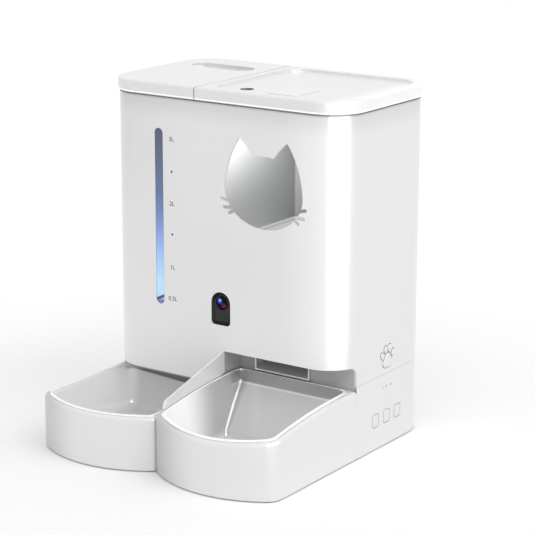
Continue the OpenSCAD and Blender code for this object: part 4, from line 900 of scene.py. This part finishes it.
def cat_outline():
    """A cat's head seen from the front, from the chin round by both ears"""
    side = []
    for turn in range(0, 90, 6):
        sine, cosine = sine_cosine(turn)
        side.append((CAT_HALF * sine, -CAT_CHIN * cosine))
    cheek = ((1, 0), (0.97, 0.56 * CAT_EAR), (0.632, CAT_EAR - 1))
    tip = ((0.625, CAT_EAR - 0.6), (0.605, CAT_EAR + 0.4), (0.57, CAT_EAR - 1))
    ear = ((0.56, CAT_EAR - 1.4), (0.41, 0.45 * CAT_CROWN + 0.55 * CAT_EAR), (0.262, CAT_CROWN - 0.7))
    crown = ((0.255, CAT_CROWN - 0.8), (0.12, CAT_CROWN), (0, CAT_CROWN))
    for curve, steps in ((cheek, 14), (tip, 5), (ear, 8), (crown, 6)):
        side += bend(*[(CAT_HALF * share, height) for share, height in curve], steps)
    mirrored = [(-x, z) for x, z in reversed(side[1:-1])]
    return [(CAT_X + x, CAT_Z + z) for x, z in side + mirrored]


def whisker_outline(side, across, up, turn):
    """A slot with a round end that leaves the head at an angle"""
    start = (CAT_HALF * across, CAT_CHIN * up)
    half = WHISKER_WIDTH / 2
    tip = arc((WHISKER_LENGTH - half, 0), half, -90, 90, 8)
    flat = [(-WHISKER_LENGTH, -half)] + tip + [(-WHISKER_LENGTH, half)]
    sine, cosine = sine_cosine(turn)
    turned = [(start[0] + x * cosine - z * sine, start[1] + x * sine + z * cosine) for x, z in flat]
    return [(CAT_X + side * x, CAT_Z + z) for x, z in turned]


def arch_outline(inset):
    """The camera opening: a round arch on a foot with small corner radii"""
    half = CAMERA_HALF - inset
    corner = max(CAMERA_CORNER - inset, 0.8)
    low = CAMERA_LOW + inset
    return (arc((LENS_X - half + corner, low + corner), corner, 180, 270, 6)
            + arc((LENS_X + half - corner, low + corner), corner, 270, 360, 6)
            + arc((LENS_X, LENS_Z), half, 0, 180, 36))


def front_opening(outline):
    """A cutting tool through the casing's front wall"""
    return prism(outline, FRONT_Y - OVERRUN, FRONT_Y + WALL + OVERRUN, "y")


def notch_outline(low):
    """The cut-out over the food bowl, seen from the side"""
    return ([(FRONT_Y - OVERRUN, low), (DOCK_Y, low)]
            + arc((DOCK_Y - NOTCH_RADIUS, FOOD_EDGE_Z - NOTCH_RADIUS), NOTCH_RADIUS, 0, 90, 14)
            + [(FRONT_Y - OVERRUN, FOOD_EDGE_Z)])


def hinge_ear(x):
    """An ear on the casing's back edge, with the hole for a hinge pin"""
    axis_y, axis_z = (PIN_LOW.y + PIN_HIGH.y) / 2, (PIN_LOW.z + PIN_HIGH.z) / 2
    eye, hole = [rod((x - reach, axis_y, axis_z), (x + reach, axis_y, axis_z), radius)
                 for reach, radius in ((EAR_HALF, EAR_RADIUS), (EAR_HALF + OVERRUN, PIN_HOLE))]
    foot = block((x - EAR_HALF, BACK_Y - WALL, CASING_TOP - 2 * REAR_RELIEF),
                 (x + EAR_HALF, BACK_Y - EAR_INSET, axis_z))
    return cut(cut(eye, foot, operation="UNION"), hole)


def screw_post(x, y):
    """A post above the deck for a screw from below"""
    low, high = DECK_TOP + POST_GAP, DECK_TOP + POST_HEIGHT
    post = rod((x, y, low), (x, y, high), POST_RADIUS)
    return cut(post, rod((x, y, low - 1), (x, y, high - 2), SCREW_RADIUS))


def seam_filler():
    """The strip behind the seam between casing and base"""
    side = HALF_WIDTH + OVERRUN
    return cut(prism(casing_outline(SEAM_DEPTH), BASE_TOP - 1, SEAM_Z + 1),
               prism(casing_outline(WALL - 0.4), 0, LID_TOP),
               block((-side, FRONT_Y - OVERRUN, 0), (side, DOCK_Y + WALL, CASING_TOP)))


def upper_casing():
    """Tall shell with its three openings in front and the notch over the food bowl"""
    side = HALF_WIDTH + OVERRUN
    low = WATER_EDGE_Z - OVERRUN
    shell = cut(prism(casing_outline(0), WATER_EDGE_Z, CASING_TOP),
                prism(casing_outline(WALL), low, CASING_TOP + OVERRUN))
    slot = rounded_box(LEVEL_LOW.x + LEVEL_LAP, LEVEL_HIGH.x - LEVEL_LAP, LEVEL_LOW.z + LEVEL_LAP,
                       LEVEL_HIGH.z - LEVEL_LAP, [LEVEL_HALF - 0.01] * 4)
    cut(shell,
        block((-side, DOCK_Y, low), (side, BACK_Y + OVERRUN, SEAM_Z)),
        prism(notch_outline(low), NOTCH_X, side, "x"),
        block((NOTCH_LOW_X, FRONT_Y - OVERRUN, low), (side, DOCK_Y, NOTCH_LOW_Z)),
        front_opening(slot), front_opening(arch_outline(0)), front_opening(cat_outline()),
        block((SPLIT_X, PIN_LOW.y - HINGE_CLEARANCE, CASING_TOP - REAR_RELIEF),
              (side, BACK_Y + OVERRUN, CASING_TOP + OVERRUN)))
    for facing in (-1, 1):
        for whisker in WHISKERS:
            cut(shell, front_opening(whisker_outline(facing, *whisker)))
    groove = prism(casing_outline(-OVERRUN), CASING_TOP - GROOVE_HEIGHT, CASING_TOP + OVERRUN)
    cut(shell, cut(groove, prism(casing_outline(GROOVE_DEPTH), 0, CASING_TOP + 2 * OVERRUN)))
    tidy(shell)

    def lower_edge(middle):
        on_shell = depth_inside(middle) < 2 * SLACK and middle.y < DOCK_Y - SLACK
        return on_shell and middle.z < FOOD_EDGE_Z + SLACK

    def window_edge(middle):
        return FOOD_EDGE_Z + 5 < middle.z < CASING_TOP - 5 and middle.y < FRONT_Y + SLACK

    # Painted shade in the groove below the lids
    def in_groove(middle, facing):
        return middle.z > CASING_TOP - GROOVE_HEIGHT - SLACK / 2

    round_edges(shell, EDGE_ROUND, lower_edge, steps=5)
    round_edges(shell, 0.5, window_edge, steps=2)
    posts = [screw_post(facing * x, y) for facing in (-1, 1) for x, y in SCREW_SPOTS]
    seam = seam_filler()
    ears = [hinge_ear(x) for x in (PIN_LOW.x + PIN_HALF, PIN_HIGH.x - PIN_HALF)]
    finish(gather([shell, seam] + ears + posts), "upper_casing", "housing_shell",
           material=SHADED_WHITE, painted=[(HOLLOW_SHADE, in_groove)])


def base_casing():
    """Base with rounded edges at its foot and along the dock, and finer ones at its top"""
    def wall_edge(middle):
        at_wall = middle.z < BASE_BOTTOM + SLACK or middle.y < DOCK_Y + SLACK
        return depth_inside(middle) < SLACK and at_wall

    def fine_edge(middle):
        return depth_inside(middle) < SLACK and not wall_edge(middle)

    softened("base_housing", "base_casing", (0.8, wall_edge), (0.25, fine_edge))


def badge_shape(outline, rise):
    """An outline on the casing's right-hand side, raised off it"""
    return prism(outline, HALF_WIDTH - 0.1, HALF_WIDTH + rise, "x")


def paw_toe(y, z, half_width, half_height, tilt, grow=0.0, rise=PAW_RISE):
    """One oval toe of the paw print"""
    sine, cosine = sine_cosine(tilt)
    outline = []
    for step in range(28):
        up, across = sine_cosine(360 * step / 28)
        across, up = (half_width + grow) * across, (half_height + grow) * up
        outline.append((PAW_Y + y + across * cosine - up * sine, PAW_Z + z + across * sine + up * cosine))
    return badge_shape(outline, rise)


def paw_pad(grow=0.0, rise=PAW_RISE):
    """The paw print's large pad, a triangle with very round corners"""
    outline = []
    for step in range(48):
        angle = math.radians(360 * step / 48)
        reach = PAD_REACH * (1 + PAD_BULGE * math.cos(3 * (angle - math.pi / 2))) + grow
        across, up = PAD_WIDENING * reach * math.cos(angle), reach * math.sin(angle) - PAD_DROP
        outline.append((PAW_Y + across, PAW_Z + up))
    return badge_shape(outline, rise)


def paw_shapes(**sizes):
    """The pad and four toes of the paw print"""
    toes = [paw_toe(facing * y, z, half_width, half_height, -facing * tilt, **sizes)
            for facing in (-1, 1) for y, z, half_width, half_height, tilt in TOES]
    return gather([paw_pad(**sizes)] + toes)


def paw_badge():
    """The raised paw print and the fine line of shade round it"""
    badge = paw_shapes()
    round_edges(badge, 0.5, lambda middle: middle.x > HALF_WIDTH + PAW_RISE - SLACK)
    finish(badge, "paw_print", "paw_badge")
    finish(paw_shapes(grow=PAW_LINE, rise=PAW_LINE_RISE), "paw_outline", "paw_badge", replace=False,
           material=LINE_GREY)


def key_outline(node):
    """The fine line of shade that shows round a key"""
    low, high = corners(node)
    middle_y, middle_z = (low.y + high.y) / 2, (low.z + high.z) / 2

    def round_box(grow):
        half_width, half_height = KEY_WIDTH / 2 + grow, KEY_HEIGHT / 2 + grow
        return rounded_box(middle_y - half_width, middle_y + half_width, middle_z - half_height,
                           middle_z + half_height, [KEY_RADIUS + grow] * 4)

    line = cut(prism(round_box(KEY_LINE), HALF_WIDTH - 0.3, HALF_WIDTH + 0.05, "x"),
               prism(round_box(0.05), HALF_WIDTH - 1, HALF_WIDTH + 1, "x"))
    finish(line, node.replace("button", "key") + "_line", node, replace=False, material=LINE_GREY)


def controls():
    """The three keys on the right-hand side and the battery door at the back"""
    def key_front(middle):
        return middle.x > HALF_WIDTH + 2 * SLACK

    for node in ("button_set", "button_link", "button_feed"):
        softened(node, node.replace("button", "key"), (0.5, key_front))
        key_outline(node)
    softened("battery_cover", "battery_door", (0.4, lambda middle: middle.y > BACK_Y - SLACK))


# Camera and marks

def camera_bezel():
    """Black plate sunk in the casing, with a sloping border and two posts behind"""
    plate_y = FRONT_Y + WALL
    steps = ((plate_y + BEZEL_LAP, -BEZEL_LAP), (plate_y, -BEZEL_LAP), (plate_y, 0.1),
             (FRONT_Y + 0.35, 0.1), (FRONT_Y + 0.2, 0.3), (FRONT_Y + 0.25, 0.55),
             (plate_y - 0.5, BEZEL_SLOPE_WIDTH - 0.25), (plate_y - 0.35, BEZEL_SLOPE_WIDTH))
    bezel = loft([[(x, y, z) for x, z in arch_outline(inset)] for y, inset in steps])
    back = (LENS_X, plate_y + 2 * BEZEL_LAP, LENS_Z)
    cut(bezel, rod((LENS_X, FRONT_Y, LENS_Z), back, LENS_RADIUS + 0.15, 64),
        rod((LENS_X, plate_y + 0.6, LENS_Z), back, BARREL_RADIUS, 64))

    def lens_edge(middle):
        aside = math.hypot(middle.x - LENS_X, middle.z - LENS_Z)
        return plate_y - 0.5 < middle.y < plate_y and aside < LENS_RADIUS + 0.5

    # Painted shade on the sloping border
    def border(middle, facing):
        return middle.y < plate_y - 0.52 or facing.y > -0.9

    round_edges(bezel, 0.3, lens_edge, steps=2)
    spots = [(LENS_X + facing * (CAMERA_HALF - 1.5), CAMERA_LOW + 3) for facing in (-1, 1)]
    posts = [rod((x, plate_y + 2, z), (x, BEZEL_HIGH.y, z), BEZEL_POST_RADIUS) for x, z in spots]
    finish(gather([bezel] + posts), "camera_bezel_plate", "camera_bezel",
           painted=[(BEZEL_SHADE, border)])


def camera_lens():
    """Domed front glass of the camera"""
    back_y = corners("camera_lens")[1].y
    edge_y = FRONT_Y + WALL - 0.1
    profile = [(back_y, LENS_RADIUS), (edge_y, LENS_RADIUS)]
    for share in (0.97, 0.9, 0.8, 0.66, 0.5, 0.33, 0.16, 0.04):
        profile.append((edge_y - LENS_DOME * math.sqrt(1 - share ** 2), LENS_RADIUS * share))
    rings = [[(x, y, z) for x, z in arc((LENS_X, LENS_Z), radius, 0, 352.5, 47)] for y, radius in profile]
    finish(loft(rings), "camera_front_glass", "camera_lens")


def level_marks():
    """Litre marks printed beside the level window"""
    prints = [rod((MARK_X, FRONT_Y - INK, z), (MARK_X, FRONT_Y + INK, z), DOT_RADIUS, 24)
              for z in LEVEL_DOTS]
    for words, z in LEVEL_MARKS:
        deselect()
        bpy.ops.object.text_add(location=(MARK_X * MM, FRONT_Y * MM, z * MM), rotation=(math.pi / 2, 0, 0))
        adjust(bpy.context.object.data, body=words, size=MARK_SIZE * MM, extrude=INK * MM,
               align_x="CENTER", align_y="CENTER")
        bpy.ops.object.convert(target="MESH")
        prints.append(settled())
    finish(gather(prints), "level_marks", "housing_shell", replace=False, material=LEVEL_INK)


# Trays and bowls

def skin_ring(side, inset, back_inset, back_radius, height):
    """One loop of a tray's or bowl's skin; the height is a rule on Y"""
    return [(side * x, y, height(y)) for x, y in tray_outline(inset, back_inset, back_radius)]


def tray(side, rim, node, name):
    """Outer tray with a rounded rim, a ledge for the bowl and two tongues into the base"""
    def top(drop):
        return lambda y: rim(y) - RIM_STEP - drop

    def level(z):
        return lambda y: z

    steps = []
    for turn in (0, 30, 60, 90):
        sine, cosine = sine_cosine(turn)
        foot = level(TRAY_BOTTOM + TRAY_FOOT_ROUND * (1 - cosine))
        steps.append((TRAY_FOOT_ROUND * (1 - sine), 0.5, foot))
    for turn in range(0, 91, 15):
        sine, cosine = sine_cosine(turn)
        drawn_in = 1 - cosine
        steps.append((TRAY_TOP_ROUND * drawn_in, 0.5 + 3 * drawn_in, top(TRAY_TOP_ROUND * (1 - sine))))
    lip_radius = BOWL_BACK_RADIUS + 0.3
    steps += [(LIP_WIDTH - 0.3, lip_radius, top(0)), (LIP_WIDTH, lip_radius, top(0.3)),
              (LIP_WIDTH, lip_radius, top(LIP_HEIGHT)), (TRAY_WALL, lip_radius, top(LIP_HEIGHT + 1)),
              (TRAY_WALL, lip_radius, level(TRAY_FLOOR_Z))]
    pieces = [loft([skin_ring(side, inset, inset, radius, height) for inset, radius, height in steps])]
    for x in TONGUE_XS:
        tongue = block((side * x - TONGUE_HALF, TRAY_BACK_Y - 1, TONGUE_LOW),
                       (side * x + TONGUE_HALF, TONGUE_END_Y, TONGUE_HIGH))
        pieces.append(round_edges(tongue, 0.6))
    finish(gather(pieces), name, node, material=TRAY_WHITE)


def bowl(side, rim, ramp_length, node, name):
    """Glossy liner with drafted walls, a soft floor and, for food, a ramp under the chute"""
    def share_up(share, floor):
        return lambda y: floor + (rim(y) - floor) * share

    def below_rim(drop):
        return lambda y: rim(y) - drop

    inner = BOWL_INSET + BOWL_WALL
    foot = BOWL_INSET + BOWL_DRAFT
    corner = RAMP_CORNER if ramp_length else BOWL_BACK_RADIUS
    knee = BOWL_INSET + BOWL_DRAFT * (1 - RAMP_SHARE)
    steps = [(foot, foot + ramp_length, share_up(0, TRAY_FLOOR_Z)),
             (knee, BOWL_INSET, share_up(RAMP_SHARE - 0.02, TRAY_FLOOR_Z))]
    for grow, drop in ((0, 0.9), (0.25, 0.25), (0.8, 0)):
        steps.append((BOWL_INSET + grow, BOWL_INSET + grow, below_rim(drop)))
    for turn in (90, 65, 45, 25, 0):
        sine, cosine = sine_cosine(turn)
        inset = inner - RIM_ROUND * sine
        steps.append((inset, inset, below_rim(RIM_ROUND * (1 - cosine))))
    upper = len(steps)
    fillet_z = BOWL_FLOOR_Z + FLOOR_FILLET
    for share in (0.9, RAMP_SHARE + 0.03, RAMP_SHARE, RAMP_SHARE - 0.03, 0.6, 0.4, 0.2, 0.0):
        inset = inner + INNER_DRAFT * (1 - share)
        run = 0
        if ramp_length:
            run = max(0, (RAMP_SHARE - share) / RAMP_SHARE) * (ramp_length - FLOOR_FILLET / 2)
            run += RAMP_EDGE if share == RAMP_SHARE else 0
        steps.append((inset, inset + run, share_up(share, fillet_z)))
    last, last_back = steps[-1][:2]
    for turn in (15, 30, 45, 60, 75, 90):
        sine, cosine = sine_cosine(turn)
        grow = FLOOR_FILLET * (1 - cosine)
        steps.append((last + grow, last_back + grow, share_up(0, fillet_z - FLOOR_FILLET * sine)))
    grow = FLOOR_FILLET + 3
    steps.append((last + grow, last_back + grow, share_up(0, BOWL_FLOOR_Z)))
    liner = loft([skin_ring(side, inset, back, corner if place > upper else BOWL_BACK_RADIUS, height)
                  for place, (inset, back, height) in enumerate(steps)])

    # Painted highlight along the rim's top
    def on_rim(middle, facing):
        return middle.z > rim(middle.y) - RIM_ROUND and facing.z > -0.2

    finish(liner, name, node, material=FOOD_LINER if ramp_length else None, angle=50,
           painted=[(RIM_HIGHLIGHT, on_rim)])


# Lids and inner pieces that show

def lid_top_edge(middle):
    """The outer top edge of a lid"""
    return middle.z > LID_TOP - SLACK / 2 and depth_inside(middle) < -LID_OVERHANG + SLACK


def lid_foot(middle):
    return middle.z < LID_BOTTOM + SLACK / 2 and depth_inside(middle) < -LID_OVERHANG + SLACK


def lid_inner_edge(middle):
    return middle.z > LID_TOP - SLACK / 2 and depth_inside(middle) > 1


def finger_hole(middle, facing):
    """The wall and floor of the finger hole in the right-hand lid"""
    aside = math.hypot(middle.x - FINGER_X, middle.y - FINGER_Y)
    return LID_BOTTOM - 2 < middle.z < LID_TOP - 2.4 and aside < FINGER_RADIUS + 0.3


def split_face(middle, facing):
    """The left-hand lid's side along the split, painted dark grey as the shade in the gap between the lids
    """
    return abs(facing.x) > 0.9 and abs(middle.x - SPLIT_X) < 1.5


def lids():
    roundings = ((LID_TOP_ROUND, lid_top_edge), (LID_FOOT_ROUND, lid_foot),
                 (LID_INNER_ROUND, lid_inner_edge))
    # Painted shade: the left lid's split side in dark grey and the right lid's finger hole in grey
    for node, paint in (("tank_lid", (FINISHES["rubber_grey"], split_face)),
                        ("hopper_lid", (HOLLOW_SHADE, finger_hole))):
        softened(node, node + "_cap", *roundings, material=LID_WHITE, painted=[paint])
    softened("latch_tab", "latch_key", (0.3, lambda middle: middle.z > LID_TOP - 2))


def chute_front(middle, facing=None):
    """The front edge of the chute's mouth; it serves as a test on edges and on faces"""
    return middle.y < corners("food_chute")[0].y + 0.35


def dress_frame():
    """Gives every node of the frame that still shows its finish"""
    for node, piece in NODES.items():
        for slot in piece.material_slots:
            slot.material = HOPPER_WHITE if node == "hopper" else FINISHES[SLOT_OF[node]]


# Camera, lamps and stage

def in_scene(thing, place, turn):
    """Puts a lamp or a camera in its place"""
    bpy.context.scene.collection.objects.link(thing)
    adjust(thing, location=place, rotation_euler=turn)
    return thing


def photo_camera():
    """A camera where the photo was taken from, with its turn and its slight roll"""
    data = bpy.data.cameras.new("photo_camera")
    adjust(data, lens=CAMERA_FOCAL, sensor_width=36)
    aim = Euler((math.radians(90 - CAMERA_ELEVATION), 0, math.radians(CAMERA_AZIMUTH))).to_matrix()
    turn = (aim @ Matrix.Rotation(math.radians(CAMERA_ROLL), 3, "Z")).to_euler()
    camera = bpy.data.objects.new("photo_camera", data)
    bpy.context.scene.camera = in_scene(camera, Vector(CAMERA_PLACE) * MM, turn)


def softbox(name, place, aim, width, height, power, glossy_only=False):
    """A rectangular studio lamp; sizes and places in metres"""
    data = bpy.data.lights.new(name, "AREA")
    adjust(data, shape="RECTANGLE", size=width, size_y=height, energy=power)
    turn = (Vector(place) - Vector(aim)).to_track_quat("Z", "Y").to_euler()
    lamp = in_scene(bpy.data.objects.new(name, data), place, turn)
    adjust(lamp, visible_camera=False, visible_diffuse=not glossy_only)


def studio():
    """An even room, white where it is seen, and three softboxes"""
    world = bpy.data.worlds.new("studio")
    bpy.context.scene.world = world
    sheet = Sheet("studio", world)
    room = sheet.add("ShaderNodeBackground", {}, {"Color": (1, 1, 1, 1), "Strength": ROOM_LIGHT})
    white = sheet.add("ShaderNodeBackground", {}, {"Color": (1, 1, 1, 1), "Strength": 1.0})
    mix = sheet.add("ShaderNodeMixShader", {}, {0: sheet.seen(), 1: room, 2: white})
    sheet.add("ShaderNodeOutputWorld", {}, {"Surface": mix}, output=None)
    softbox("high_softbox", (0.909, -1.083, 1.885), (0, 0, 0.2), 1.3, 1.3, HIGH_POWER)
    softbox("right_softbox", (1.414, 0.0, 1.885), (0, 0, 0.2), 1.3, 1.3, RIGHT_POWER)
    softbox("corner_softbox", (0.44, -0.2, 0.45), (0.13, -0.01, 0.45), 0.46, 0.9, CORNER_POWER,
            glossy_only=True)


def floor():
    """Pale floor that keeps the feeder's shadow and turns to plain white further out"""
    deselect()
    bpy.ops.mesh.primitive_grid_add(x_subdivisions=4, y_subdivisions=4, size=12)
    ground = bpy.context.object
    ground.name = "floor"
    sheet = Sheet("studio_floor", base_color=(*FLOOR_COLOUR, 1), roughness=1.0, specular_ior_level=0.0)
    glow = sheet.add("ShaderNodeEmission")
    far = sheet.add("ShaderNodeVectorMath", {"operation": "LENGTH"}, {0: sheet.place()}, output="Value")
    share = sheet.seen() * far.rise(*FLOOR_FADE)
    mix = sheet.add("ShaderNodeMixShader", {}, {0: share, 1: Term(sheet, sheet.shader.outputs[0]), 2: glow})
    sheet.put(sheet.tree.nodes["Material Output"].inputs["Surface"], mix)
    ground.data.materials.append(sheet.material)


# The feeder

photo_camera()
studio()
floor()
bpy.context.scene.view_settings.view_transform = "Standard"

upper_casing()
base_casing()
tray(1, food_rim, "food_tray", "food_bowl_tray")
tray(-1, water_rim, "water_tray", "water_bowl_tray")
bowl(1, food_rim, RAMP_LENGTH, "food_bowl", "food_liner")
bowl(-1, water_rim, 0, "water_bowl", "water_liner")
lids()
camera_bezel()
camera_lens()
level_marks()
paw_badge()
controls()
softened("splash_guard", "splash_shield", (0.6, every_edge))
# The chute mouth in painted recess shade, with a painted highlight on its front edge
softened("food_chute", "chute_mouth", (0.3, chute_front), material=RECESS_SHADED,
         painted=[(RIM_HIGHLIGHT, chute_front)])
# The recess walls in painted shade
softened("feed_bay", "feed_recess", (0.4, every_edge), material=RECESS_SHADED)
softened("handle_cup", "finger_cup", (0.6, every_edge), material=CUP_WHITE)
dress_frame()
